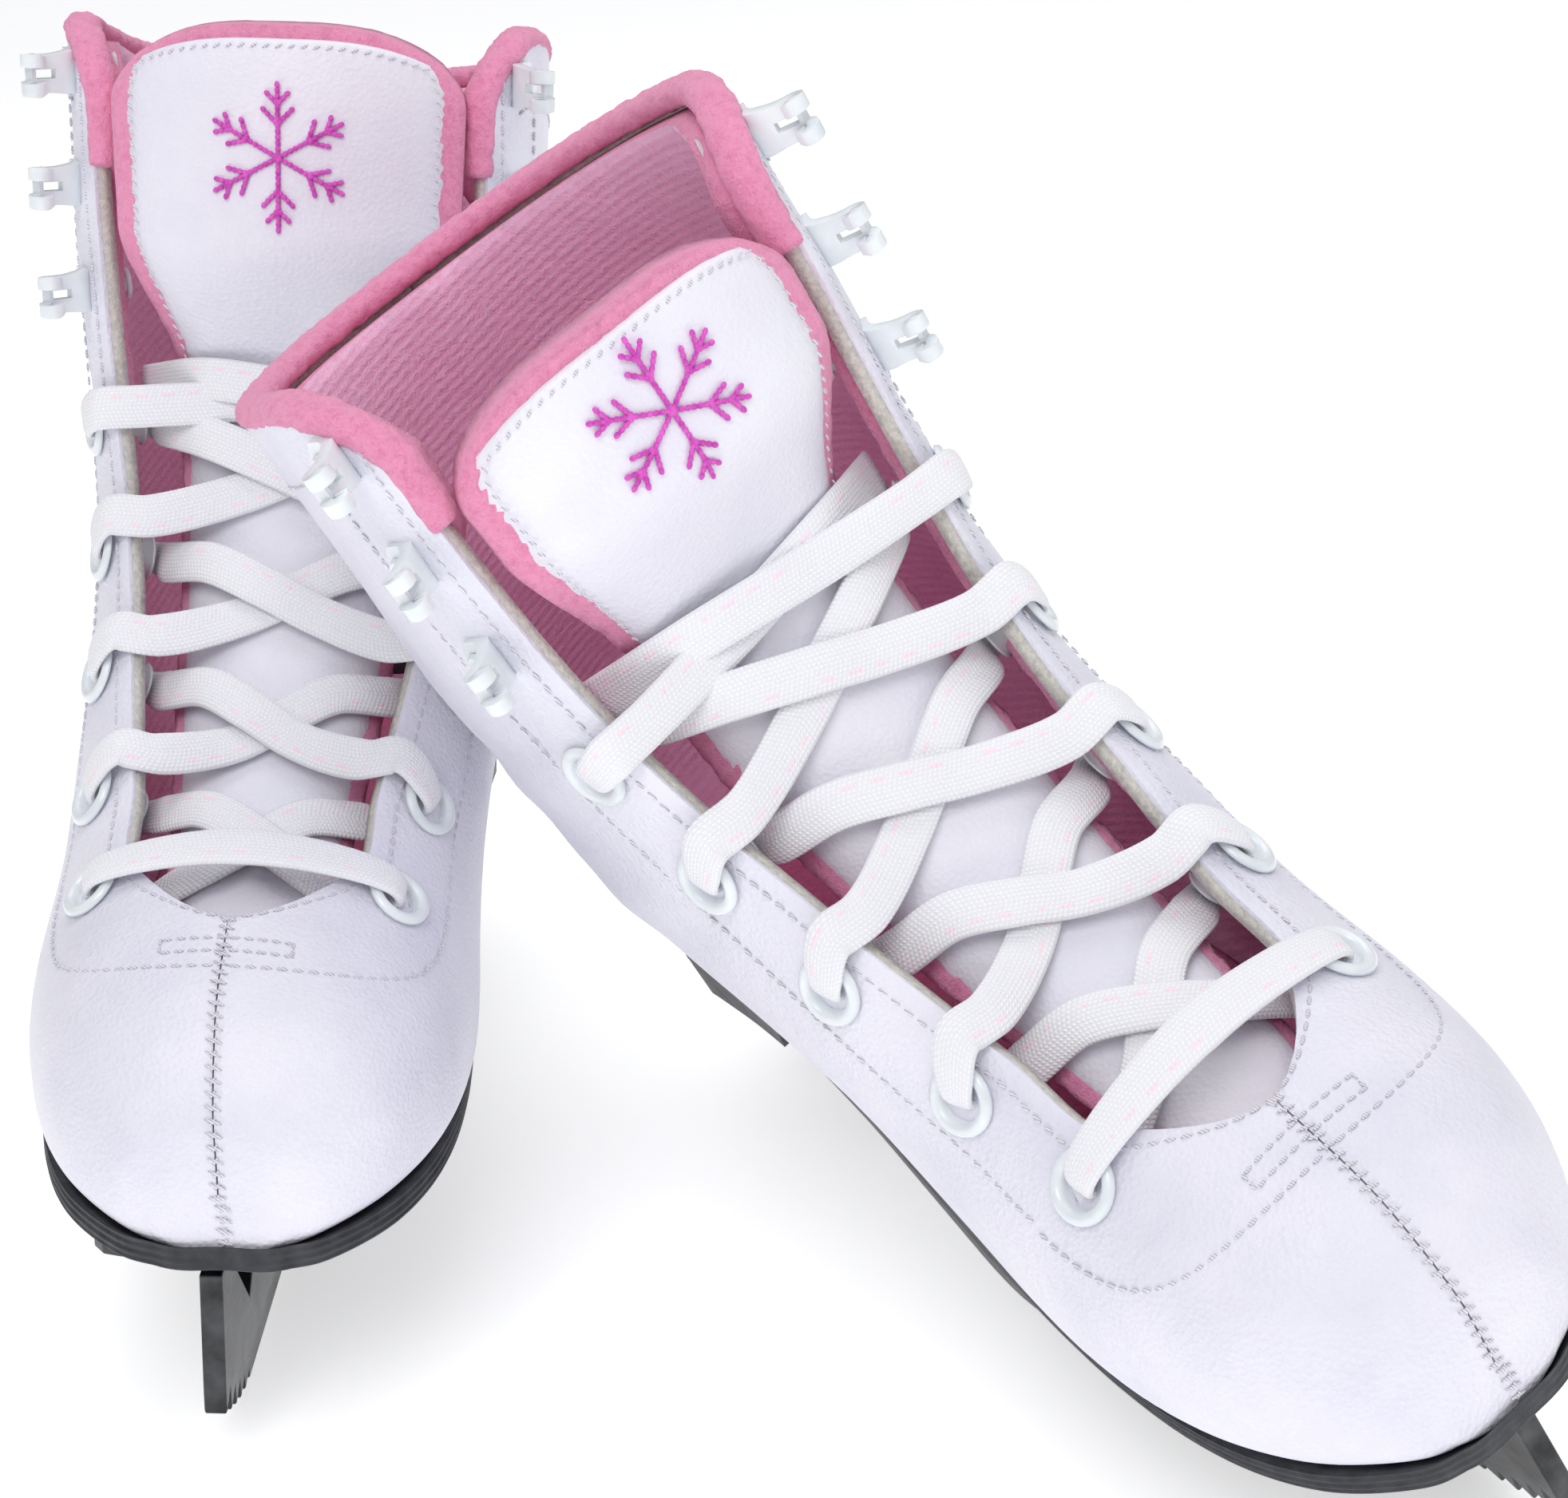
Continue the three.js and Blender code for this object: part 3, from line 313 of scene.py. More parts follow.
# %% Sole and steel
sole_plastic = Finish("sole_plastic", Roughness=0.45, Specular_IOR_Level=0.45)
sole_plastic.mottle(300, 4, (0.35, (0.012, 0.013, 0.018)), (0.7, (0.035, 0.037, 0.045)))
sole_plastic.rough(sole_plastic.noise(500, 3), 0.35, 0.62)
sole_plastic.bump(sole_plastic.noise(1500, 2), 0.0002, 0.35)

blade_steel = Finish("blade_steel", Roughness=0.3, Metallic=1.0, Anisotropic=0.4)
grind = blade_steel.node("Mapping", [("Vector", blade_steel.place())], Scale=(300, 300, 4000))
streak = blade_steel.noise(1, 3, 0.6, grind.outputs[0])
blade_steel.mottle(120, 4, (0.3, (0.02, 0.021, 0.022)), (0.7, (0.1, 0.104, 0.108)))
blade_steel.rough(streak, 0.22, 0.45)
blade_steel.bump(streak, 0.0001, 0.25)
print("materials made:", len(bpy.data.materials))

# %% [markdown]
# ## The last
#
# A boot is measured by its cross-sections, from the toe back over the ball and the instep and up the leg. Each
# station has a top point, a bottom point, a half width, and the roundness of its two halves. Any point of the skin
# is a station, a turn round it, and a depth inside it. All lengths here are in millimetres.

# %% Stations
boot_length, boot_width, boot_height, ice_to_ball = 228.0, 80.0, 194.0, 46.0
gap, upper_wall, lining_wall = 0.3, 1.9, 3.8
lining_depth = upper_wall + gap
inner_depth = lining_depth + lining_wall + gap
throat_start, collar, heel_seat, flex = 4.28, 14.3, 9.0, 10.6
# top along, top height, bottom along, bottom height, half width, widest, roundness over, roundness under
last = np.array([
    (0.994, 0.055, 0.994, 0.04, 0, 0.5, 2, 2),
    (0.991, 0.09, 0.988, 0.021, 0.3, 0.52, 2, 2.6),
    (0.979, 0.13, 0.972, 0.012, 0.49, 0.56, 2.1, 3),
    (0.936, 0.19, 0.925, 0.007, 0.735, 0.62, 2.2, 3.6),
    (0.872, 0.218, 0.853, 0.003, 0.895, 0.66, 2.2, 4),
    (0.787, 0.245, 0.754, 0, 0.96, 0.68, 2.1, 4),
    (0.703, 0.286, 0.605, 0.012, 0.94, 0.66, 2.3, 4),
    (0.634, 0.342, 0.43, 0.058, 0.97, 0.62, 2.6, 4),
    (0.573, 0.409, 0.215, 0.089, 1.01, 0.58, 2.9, 4),
    (0.528, 0.482, 0.032, 0.11, 1.05, 0.54, 3.1, 3.2),
    (0.5, 0.56, -0.006, 0.236, 1.07, 0.5, 3.2, 2.6),
    (0.484, 0.64, 0.01, 0.355, 1.09, 0.5, 3.2, 2.4),
    (0.474, 0.72, 0.038, 0.474, 1.1, 0.5, 3.2, 2.4),
    (0.468, 0.8, 0.055, 0.593, 1.1, 0.5, 3.1, 2.4),
    (0.464, 0.88, 0.055, 0.716, 1.1, 0.5, 3.1, 2.4),
    (0.462, 0.959, 0.039, 0.835, 1.1, 0.5, 3, 2.4),
    (0.461, 1.041, 0.017, 0.948, 1.1, 0.5, 3, 2.4),
])
throat_half = boot_width / 2 * np.array(
    [0, 0, 0, 0, 0, 0.47, 0.535, 0.61, 0.68, 0.75, 0.81, 0.85, 0.875, 0.89, 0.895, 0.9, 0.9]
)
tongue_half = boot_width / 2 * np.array(
    [0.25, 0.25, 0.25, 0.325, 0.425, 0.54, 0.62, 0.7, 0.75, 0.78, 0.78, 0.76, 0.77, 0.785, 0.79, 0.79, 0.79]
)
tongue_lift = np.array([0, 0, 0, 0, 0, 0, 0, 0, 0, 0, 1.6, 2.9, 2.8, 1.5, 0.5, 0, 0.0])


def spline(values, at):
    """Catmull-Rom through values at 0, 1, 2, ..."""
    values = np.asarray(values, float)
    x = np.clip(np.asarray(at, float), 0, len(values) - 1)
    i = np.minimum(np.floor(x).astype(int), len(values) - 2)
    t = x - i
    b, c = values[i], values[i + 1]
    a = np.where(i > 0, values[np.maximum(i - 1, 0)], 2 * b - c)
    d = np.where(i + 2 < len(values), values[np.minimum(i + 2, len(values) - 1)], 2 * c - b)
    cube = (3 * b - a - 3 * c + d) * t**3
    return 0.5 * (2 * b + (c - a) * t + (2 * a - 5 * b + 4 * c - d) * t**2 + cube)


def smooth(start, end, x):
    """A soft step from 0 at start to 1 at end."""
    t = np.clip((np.asarray(x, float) - start) / (end - start), 0, 1)
    return t * t * (3 - 2 * t)


def mix(a, b, t):
    return a + (b - a) * t


def station(u):
    read = [spline(last[:, i], u) for i in range(8)]
    half = np.where(u < 1, boot_width / 2 * 0.3 * np.sqrt(np.maximum(u, 0)), boot_width / 2 * read[4])
    return {
        "top_y": boot_length * (0.5 - read[0]),
        "top_z": ice_to_ball + boot_height * read[1],
        "low_y": boot_length * (0.5 - read[2]),
        "low_z": ice_to_ball + boot_height * read[3],
        "half": np.maximum(half, 0),
        "widest": read[5],
        "over": read[6],
        "under": read[7],
    }


print("stations on the last:", len(last))

# %% The skin
toe_core = np.array([0, boot_length * (0.5 - 0.83), ice_to_ball + boot_height * 0.1])
toe_shift = 4.0


def skin(side, u, turn, depth=0.0):
    """Points on the boot at station u and angle turn, depth mm inside. 0 is the front, pi the bottom or back."""
    u, turn, depth = np.broadcast_arrays(*(np.asarray(a, float) for a in (u, turn, depth)))
    s = station(u)
    dy, dz = s["low_y"] - s["top_y"], s["low_z"] - s["top_z"]
    length = np.hypot(dy, dz)
    uy, uz = dy / np.maximum(length, 1e-6), dz / np.maximum(length, 1e-6)
    sine, cosine = np.sin(turn), np.cos(turn)
    power = 2 / np.where(cosine > 0, s["over"], s["under"])
    across = np.sign(sine) * np.abs(sine) ** power
    bend = np.abs(cosine) ** power
    down = np.where(cosine > 0, s["widest"] * (1 - bend), s["widest"] + (1 - s["widest"]) * bend)
    pinch = 1 - 0.3 * smooth(5.5, 8.5, u) * (1 - 0.7 * smooth(9.5, 12, u)) * smooth(0.35, 1, down)

    def place(half, start, span):
        reach = start + span * down
        return np.stack([half * across * pinch, s["top_y"] + uy * reach, s["top_z"] + uz * reach], -1)

    shrunk = place(np.maximum(s["half"] - depth, 0), depth, np.maximum(length - 2 * depth, 0))
    scaled = toe_core + (place(s["half"], 0, length) - toe_core) * (1 - depth / 40)[..., None]
    point = mix(scaled, shrunk, smooth(2.6, 4.6, u)[..., None])
    outer_side = np.where(point[..., 0] * side < 0, 0.06, 0) * (1 - smooth(3.5, 6.5, u))
    point[..., 0] *= 1 - outer_side
    under_toe = smooth(0.25 * math.pi, 0.6 * math.pi, np.arccos(np.cos(turn)))
    point[..., 2] -= under_toe * (3.6 * (1 - smooth(0.5, 5, u)) + 3.2 * np.exp(-((u / 0.8) ** 2)))
    point[..., 0] += side * toe_shift * (1 - smooth(0, 7, u))
    return point


def unit(v):
    return v / np.maximum(np.linalg.norm(v, axis=-1, keepdims=True), 1e-9)


def outward(side, u, turn):
    e = 0.02
    along = skin(side, np.asarray(u) + e, turn) - skin(side, np.maximum(np.asarray(u) - e, 0), turn)
    round_it = skin(side, u, np.asarray(turn) + e) - skin(side, u, np.asarray(turn) - e)
    return -unit(np.cross(along, round_it))


def turn_at(u, across):
    s = station(u)
    share = np.clip(np.abs(across) / s["half"], 0, 0.999)
    return np.arcsin(share ** (s["over"] / 2)) * np.where(np.asarray(across) < 0, -1, 1)


def facing_half(u):
    """Half the throat's opening at station u: a blunt V at the toe, then the facing's own width."""
    mouth = 0.23 * boot_width * (np.maximum(np.asarray(u, float) - throat_start, 0) / 0.8) ** 0.55
    return np.where(np.asarray(u) <= throat_start, 0, np.minimum(spline(throat_half, u), mouth))


def facing_turn(u):
    edge = turn_at(np.maximum(u, 0.02), gap / 2)
    return np.where(np.asarray(u) <= throat_start, edge, np.maximum(turn_at(u, facing_half(u)), edge))


def walk(side, u, distance, start=None):
    """The turn reached by walking distance mm round the skin, from the facing's edge or from a given turn."""
    u, distance = np.broadcast_arrays(np.asarray(u, float), np.asarray(distance, float))
    turn = np.array(facing_turn(u) if start is None else np.broadcast_to(start, u.shape), float)
    walked = np.zeros_like(turn)
    step = 0.01
    for _ in range(320):
        ahead = np.linalg.norm(skin(side, u, turn + step) - skin(side, u, turn), axis=-1)
        share = np.clip((distance - walked) / np.maximum(ahead, 1e-6), 0, 1)
        if not (share > 0).any():
            break
        turn = turn + step * share
        walked = walked + ahead * share
    return turn


def run_of(points):
    """The length walked along a path at each of its points."""
    return np.concatenate([[0], np.cumsum(np.linalg.norm(np.diff(points, axis=0), axis=1))])


def sampled(marks, run, points):
    """Points, or directions, read off a path at some lengths along it."""
    return np.stack([np.interp(marks, run, points[:, k]) for k in range(3)], -1)


arc_u = np.linspace(0, len(last) - 1, 1601)
arc_top = station(arc_u)
arc_mm = run_of(np.stack([arc_top["top_y"], arc_top["top_z"]], -1))


def arc_at(u):
    return np.interp(u, arc_u, arc_mm)


def station_at(arc):
    return np.interp(arc, arc_mm, arc_u)


first_eyelet, last_eyelet, hook_start, hook_pitch = 5.02, 9.85, 24, 18.6
eyelet_rows = station_at(np.linspace(arc_at(first_eyelet), arc_at(last_eyelet), 5))
hook_rows = station_at(arc_at(last_eyelet) + hook_start + hook_pitch * np.arange(3))


def collar_station(turn):
    from_edge = np.clip((np.abs(turn) - facing_turn(collar)) / 0.62, 0, 1)
    return collar - 0.85 * (1 - from_edge) ** 2.4


print("eyelets at stations", eyelet_rows.round(2), "and hooks at", hook_rows.round(2))

# %% [markdown]
# ## Where the two skates stand
#
# Each skate is drawn in its own frame, toe towards the viewer, and then turned and set down: one leans a little,
# and the other leans over against it. Every piece's mesh is moved, and its object stays at the origin.

# %% Poses and small helpers
stand = {
    "right": (1, (0, 7, 0), (-91.66556, 29.66328, 0.22982)),
    "left": (-1, (28.8, -25.7, 0.9), (74.33444, -28.43112, 0.79158)),
}
skate = {}
for name, (side, (turn, lean, pitch), at) in stand.items():
    turned = Matrix.Rotation(math.radians(turn), 4, "Z") @ Matrix.Rotation(math.radians(lean), 4, "Y")
    skate[name] = (side, Matrix.Translation(at) @ turned @ Matrix.Rotation(math.radians(pitch), 4, "X"))
metres = Matrix.Scale(0.001, 4)


halves = (("left", -1), ("right", 1))


def finish_piece(name, skate_name, bm, finishes, body="skates", bevel=0.0, replaces=()):
    """Turns a bmesh in a skate's own millimetres into a piece that rides on a body."""
    bmesh.ops.recalc_face_normals(bm, faces=bm.faces)
    bmesh.ops.transform(bm, matrix=metres @ skate[skate_name][1], verts=bm.verts)
    mesh = bpy.data.meshes.new(f"{skate_name}_{name}")
    bm.to_mesh(mesh)
    bm.free()
    mesh.shade_smooth()
    for finish in finishes:
        mesh.materials.append(getattr(finish, "material", finish))
    piece = bpy.data.objects.new(f"{skate_name}_{name}", mesh)
    bpy.context.collection.objects.link(piece)
    if bevel:
        edge = piece.modifiers.new("edge", "BEVEL")
        edge.width, edge.segments, edge.limit_method = bevel / 1000, 2, "ANGLE"
        edge.angle_limit = math.radians(50)
    if body:
        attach(piece, body)
    if replaces:
        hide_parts(*[f"{skate_name}_{node}" for node in replaces])
    return piece


def lay(verts, spots):
    for vert, spot in zip(verts, spots):
        vert.co = Vector(spot)


def grid(columns, rows):
    """A unit grid with its shares across and along, and a UV map that keeps them."""
    bm = bmesh.new()
    weave = bm.loops.layers.uv.new("weave")
    bmesh.ops.create_grid(bm, x_segments=columns, y_segments=rows, size=0.5)
    for face in bm.faces:
        for loop in face.loops:
            loop[weave].uv = (loop.vert.co.x + 0.5, loop.vert.co.y + 0.5)
    shares = np.array([vert.co[:2] for vert in bm.verts]) + 0.5
    return bm, shares[:, 0], shares[:, 1]


def closed_tube(bm, spots, row, around, merge=0.002):
    """Lays a grid's points as rings and joins each ring to itself."""
    first = {int(k): spot for k, spot, a in zip(row, spots, around) if a < 0.001}
    for k in np.flatnonzero(around > 0.999):
        spots[k] = first[int(row[k])]
    lay(bm.verts, spots)
    bmesh.ops.remove_doubles(bm, verts=bm.verts, dist=merge)


def slab(columns, rows, front, back, inside=0):
    """A closed sheet with a front and a back surface, each a function of the shares along and across."""
    bm, across, along = grid(columns, rows)
    fronts = list(bm.verts)
    made = bmesh.ops.duplicate(bm, geom=bm.verts[:] + bm.edges[:] + bm.faces[:])["geom"]
    backs = [g for g in made if isinstance(g, bmesh.types.BMVert)]
    for face in (g for g in made if isinstance(g, bmesh.types.BMFace)):
        face.material_index = inside
    bmesh.ops.translate(bm, vec=(0, 0, -0.01), verts=backs)
    edges = [edge for edge in bm.edges if edge.is_boundary]
    for face in bmesh.ops.bridge_loops(bm, edges=edges)["faces"]:
        face.material_index = 0
    shares = np.array([vert.co[:2] for vert in backs]) + 0.5
    lay(fronts, front(along, across))
    lay(backs, back(shares[:, 1], shares[:, 0]))
    bmesh.ops.remove_doubles(bm, verts=bm.verts, dist=0.004)
    return bm


print("skates:", {name: tuple(round(c, 3) for c in m.to_translation()) for name, (side, m) in skate.items()})

# %% [markdown]
# ## The upper
#
# Each boot's upper is two halves that meet at the toe seam and the back seam. The visible skin is the thin vinyl;
# a stiffener board lies behind it and shows as a raw grey edge along the throat. Both are closed sheets on the
# last, finer than the CAD's, with shallow wrinkles where the ankle bends.


# %% Upper halves and their stiffener
def half_point(s, r, rise):
    """The station and turn of one half's point, from its shares up the half and back from the facing."""
    def turn_of(u):
        s = station(u)
        seam = math.pi - np.arcsin(np.clip((gap / 2) / np.maximum(s["half"], 1), 0, 1) ** (s["under"] / 2))
        rear = mix(0.955 * math.pi, seam, smooth(heel_seat - 1.4, heel_seat - 0.1, u))
        return mix(facing_turn(u), rear, r)

    u = s * collar_station(turn_of(s * collar)) + rise
    return u, turn_of(np.maximum(u, 0.02))


def wrinkles(u, turn, hand):
    """Shallow folds where the boot bends at the ankle, in mm."""
    bend = np.exp(-(((u - 9.7) / 1.5) ** 2)) * smooth(0.5, 1.2, np.abs(turn)) * (1 - smooth(2.2, 2.8, np.abs(turn)))
    fold = np.sin(5.2 * u + 2.3 * turn * hand) + 0.6 * np.sin(9.1 * u - 3.1 * turn + hand)
    soft = 0.25 * np.sin(2.1 * u + 4 * turn) * smooth(2, 4, u)
    return 0.32 * bend * fold + soft * 0.6


def half_surface(side, hand, depth, rise=0.0):
    def place(s, r):
        u, turn = half_point(s, r, rise)
        near = smooth(0.0, 0.06, r)
        return skin(side, u, hand * turn, depth + wrinkles(u, turn, hand) * near * (depth < 3.4))

    return place


for name, (side, _) in skate.items():
    for word, hand in halves:
        vinyl = slab(46, 130, half_surface(side, hand, 0.0), half_surface(side, hand, 0.8))
        upper = finish_piece(f"upper_{word}_vinyl", name, vinyl, [leatherette], bevel=0.3,
                             replaces=[f"upper_{word}"])
        stiffener = slab(30, 90, half_surface(side, hand, 0.82, -0.004), half_surface(side, hand, 3.3, -0.004))
        finish_piece(f"upper_{word}_board", name, stiffener, [board])
print("upper halves with", len(upper.data.polygons), "faces each")


# %% [markdown]
# ## Stitching
#
# Machine stitches are short lengths of thread that dip into the vinyl at both ends. Each one is a tiny stretched
# sphere laid on the skin, and hundreds of them share one mesh. A bump map would be lighter, but it vanishes at
# grazing angles and in the exported mesh.


# %% Stitch rows
def stitches(bm, points, normals, pitch=2.7, length=2.1, radius=0.36, slant=0.0, lift=0.1):
    """Lays stitches along a path of points in mm, each with its outward normal."""
    points, normals = np.asarray(points), np.asarray(normals)
    run = run_of(points)
    for mark in np.arange(pitch / 2, run[-1], pitch):
        at = sampled(mark, run, points)
        normal = unit(sampled(mark, run, normals))
        along = unit(sampled(mark + 0.4, run, points) - sampled(mark - 0.4, run, points))
        side_way = np.cross(normal, along)
        along = unit(along * math.cos(slant) + side_way * math.sin(slant))
        side_way = np.cross(normal, along)
        frame_of = Matrix([
            [*(along[k] * length / 2, side_way[k] * radius, normal[k] * radius * 0.85), at[k] + normal[k] * lift]
            for k in range(3)
        ] + [[0, 0, 0, 1]])
        lying = frame_of @ Matrix.Rotation(math.pi / 2, 4, "Y")
        bmesh.ops.create_uvsphere(bm, u_segments=6, v_segments=4, radius=1, matrix=lying)


def on_skin(side, u, turn, depth=0.0):
    return skin(side, u, turn, depth), outward(side, u, turn)


def seam_paths(side, hand):
    """Stitch rows on one half of the upper as (points, normals, pitch, length)."""
    rows = []
    u = np.concatenate([np.linspace(throat_start - 0.1, 5.4, 60), np.linspace(5.45, 13.7, 150)])
    margin = np.interp(u, [throat_start - 0.1, 5.0, 5.6], [0.3, 3.6, 3.6])
    rows.append((*on_skin(side, u, hand * walk(side, u, margin)), 2.6, 2.0))
    quarter = np.linspace(0.0, math.pi / 2, 60)
    low, swing = 5.3 - 1.69 * np.cos(quarter), np.sin(quarter) ** 0.85
    reach = swing * (facing_half(np.full(1, 5.3))[0] + 17.5)
    bend = walk(side, low, reach, start=np.full(low.shape, 0.02))
    rows.append((*on_skin(side, low, hand * bend), 2.5, 1.9))
    high = np.linspace(5.3, 13.75, 150)
    facing_line = walk(side, high, np.interp(high, [5.3, 6.5, 13.8], [17.5, 17.5, 17.0]))
    rows.append((*on_skin(side, high, hand * facing_line), 2.5, 1.9))
    turn = np.linspace(float(facing_turn(13.6)) + 0.25, math.pi - 0.12, 90)
    rows.append((*on_skin(side, collar_station(turn) - 0.62, hand * turn), 2.6, 2.0))
    return rows


box_stations, box_half = (3.83, 4.0), 11
for name, (side, _) in skate.items():
    bm = bmesh.new()
    for hand in (-1, 1):
        for points, normals, pitch, length in seam_paths(side, hand):
            stitches(bm, points, normals, pitch, length)
    # The toe seam is drawn together by short slanting threads across it.
    u = np.concatenate([np.full(30, 0.004), np.linspace(0.01, 4.3, 170)])
    centre = np.concatenate([np.linspace(0.66 * math.pi, 0.03, 30), turn_at(u[30:], np.zeros(170) + 0.01)])
    stitches(bm, *on_skin(side, u, centre), pitch=2.1, length=3.0, radius=0.33, slant=1.25, lift=0.2)
    stitches(bm, *on_skin(side, u, centre), pitch=2.1, length=1.7, radius=0.26, slant=-0.6, lift=0.25)
    # A narrow box of stitches below the throat takes the strain.
    for edge in (0, 1):
        box_u = np.full(40, box_stations[edge])
        across_mm = np.linspace(-box_half, box_half, 40)
        stitches(bm, *on_skin(side, box_u, turn_at(box_u, across_mm)), 2.2, 1.7, 0.34)
    for end in (-box_half, box_half):
        box_u = np.linspace(*box_stations, 8)
        stitches(bm, *on_skin(side, box_u, turn_at(box_u, np.full(8, end))), 1.7, 1.5, 0.34)
    finish_piece("upper_stitching", name, bm, [thread])
print("stitched")

# %% [markdown]
# ## Back stay
#
# A strip of leatherette covers the back seam from the heel to the collar, stitched down along both edges.

# %% Back stay
for name, (side, _) in skate.items():
    def stay(depth):
        def place(s, r):
            u = mix(heel_seat + 0.25, collar - 0.1, s)
            reach = np.arcsin((7.5 / station(u)["half"]) ** (station(u)["under"] / 2))
            return skin(side, u, math.pi + (2 * r - 1) * reach, depth + 0.25 * np.abs(2 * r - 1) ** 8)
        return place

    finish_piece("backstay_strip", name, slab(14, 90, stay(-2.2), stay(-0.6)), [leatherette],
                 bevel=0.4, replaces=["backstay"])
    bm = bmesh.new()
    for edge in (-1, 1):
        u = np.linspace(heel_seat + 0.4, collar - 0.3, 120)
        reach = np.arcsin((5.6 / station(u)["half"]) ** (station(u)["under"] / 2))
        stitches(bm, *on_skin(side, u, math.pi + edge * reach, -2.2))
    finish_piece("backstay_stitching", name, bm, [thread])

# %% [markdown]
# ## Lining and collar roll
#
# The fleece lining is one thick sheet from facing to facing round the back. Its top edge is bound by a fat roll of
# the same fleece, which turns over the collar and runs a little way down the front edges. The roll is a tube swept
# along that edge, and its pile is pushed out by noise so that its outline is soft.


# %% Lining
def pile(points, amount, scale=0.9):
    """A small rough offset for each point, the same every run."""
    spots = [Vector(p) * scale for p in points]
    return amount * np.array([noise.noise(p) + 0.5 * noise.noise(p * 2.7) for p in spots])


for name, (side, _) in skate.items():
    def wall(depth, rough):
        def place(s, t):
            hand = np.where(t < 0.5, 1.0, -1.0)
            r = 1 - np.abs(2 * t - 1)
            front = facing_turn(np.maximum(s * collar, 0.02)) + 0.02
            turn = mix(front, math.pi, r)
            u = s * (collar_station(turn) - 0.1)
            low_u = np.maximum(u, 0.02)
            set_back = 2.8 * smooth(4.4, 4.9, u) * (1 - smooth(hook_rows[1] - 0.2, hook_rows[1] + 0.1, u))
            turn = mix(facing_turn(low_u) + set_back / 24, math.pi, r)
            even = skin(side, u, hand * turn, depth)
            extra = pile(even, rough) if rough else 0
            if rough:
                extra = extra + 2.2 * np.exp(-(((1 - r) / 0.05) ** 2)) * smooth(9, 11, u)
                extra = extra + 2.6 * smooth(0.9, 0.985, s)
            return skin(side, u, hand * turn, depth + extra)
        return place

    bm = slab(120, 110, wall(3.36, 0), wall(lining_depth + lining_wall, 0.35), inside=1)
    # The lining's inside faces take the ribbed fleece, painted lighter: painted light in the shaft.
    lining = finish_piece("lining_fleece", name, bm, [fleece, ribbed_fleece_painted_light], replaces=["lining"])
print("lining faces:", len(lining.data.polygons))

# %% [markdown]
# The footbed is a loose fleece sole on the bottom of the boot. It follows the bottom of the last above the lining,
# thinner than the CAD's, with a rough pile on top.


# %% Footbed
for name, (side, _) in skate.items():
    def bed(depth, rough):
        def place(s, t):
            u, turn = mix(2.6, heel_seat - 0.6, s), math.pi + 0.3 * math.pi * (2 * t - 1)
            even = skin(side, u, turn, depth)
            return skin(side, u, turn, depth + pile(even, rough)) if rough else even
        return place

    bm = slab(60, 150, bed(lining_depth + lining_wall + 0.9, 0), bed(lining_depth + lining_wall + 3.2, 0.35))
    footbed = finish_piece("footbed_fleece", name, bm, [fleece], replaces=["footbed"])
print("footbed faces:", len(footbed.data.polygons))


# %% Collar roll
def collar_path():
    """The roll's path as stations and turns, from one facing round the back to the other."""
    low = hook_rows[1] + 0.1
    corner = float(collar_station(facing_turn(collar)))
    rise = np.linspace(low, corner, 26)[:-1]
    up = facing_turn(rise) + 0.03
    turns = np.linspace(float(facing_turn(collar)) + 0.03, math.pi, 60)
    top = collar_station(turns)
    u = np.concatenate([rise, top, top[::-1][1:], rise[::-1]])
    turn = np.concatenate([up, turns, 2 * math.pi - turns[::-1][1:], 2 * math.pi - up[::-1]])
    return u, turn


def tube(side, path_u, path_turn, depth, section, columns, taper):
    """A closed tube round a path on the skin. section gives its reach outwards and off the edge at an angle."""
    centre = skin(side, path_u, path_turn, depth)
    for _ in range(3):
        centre[1:-1] = 0.25 * centre[:-2] + 0.5 * centre[1:-1] + 0.25 * centre[2:]
    run = run_of(centre)
    marks = np.linspace(0, run[-1], 260)
    centre = sampled(marks, run, centre)
    normal = outward(side, np.interp(marks, run, path_u), np.interp(marks, run, path_turn))
    for _ in range(10):
        normal[1:-1] = unit(normal[:-2] + 2 * normal[1:-1] + normal[2:])
    along = unit(np.gradient(centre, axis=0))
    edge = unit(np.cross(normal, along))
    normal = unit(np.cross(along, edge))
    bm, around, share = grid(columns, 259)
    i = np.clip(np.rint(share * 259).astype(int), 0, 259)
    cap = np.clip(np.minimum(share, 1 - share) / taper, 0, 1)
    cap = np.sqrt(1 - (1 - cap) ** 2)
    angle = 2 * math.pi * around
    out, off = section(angle)
    spots = centre[i] + normal[i] * (out * cap)[:, None] + edge[i] * (off * cap)[:, None]
    spots = spots + unit(spots - centre[i]) * (pile(spots, 0.4, 0.5) * cap)[:, None]
    closed_tube(bm, spots, i, around)
    return bm


def roll(angle):
    return 3.35 * np.cos(angle), 2.3 * np.sin(angle) + 0.9


for name, (side, _) in skate.items():
    bm = tube(side, *collar_path(), 2.75, roll, 28, 0.006)
    piece = finish_piece("collar_roll", name, bm, [fleece])
print("collar roll faces:", len(piece.data.polygons))

# %% [markdown]
# ## Tongue
#
# The tongue is a padded sheet of fleece faced with vinyl. Its upper part is a stitched panel with a fleece border,
# and it folds forward where it meets the lower part. The fleece core crosses the fold in one piece, the upper panel
# rides on the tongue's body, and the core and the lower facing are baked in place on no body.


# %% Tongue surfaces
tongue_top = {1: 14.1, -1: 13.3}
panel_low, panel_inset = 10.3, 3.2


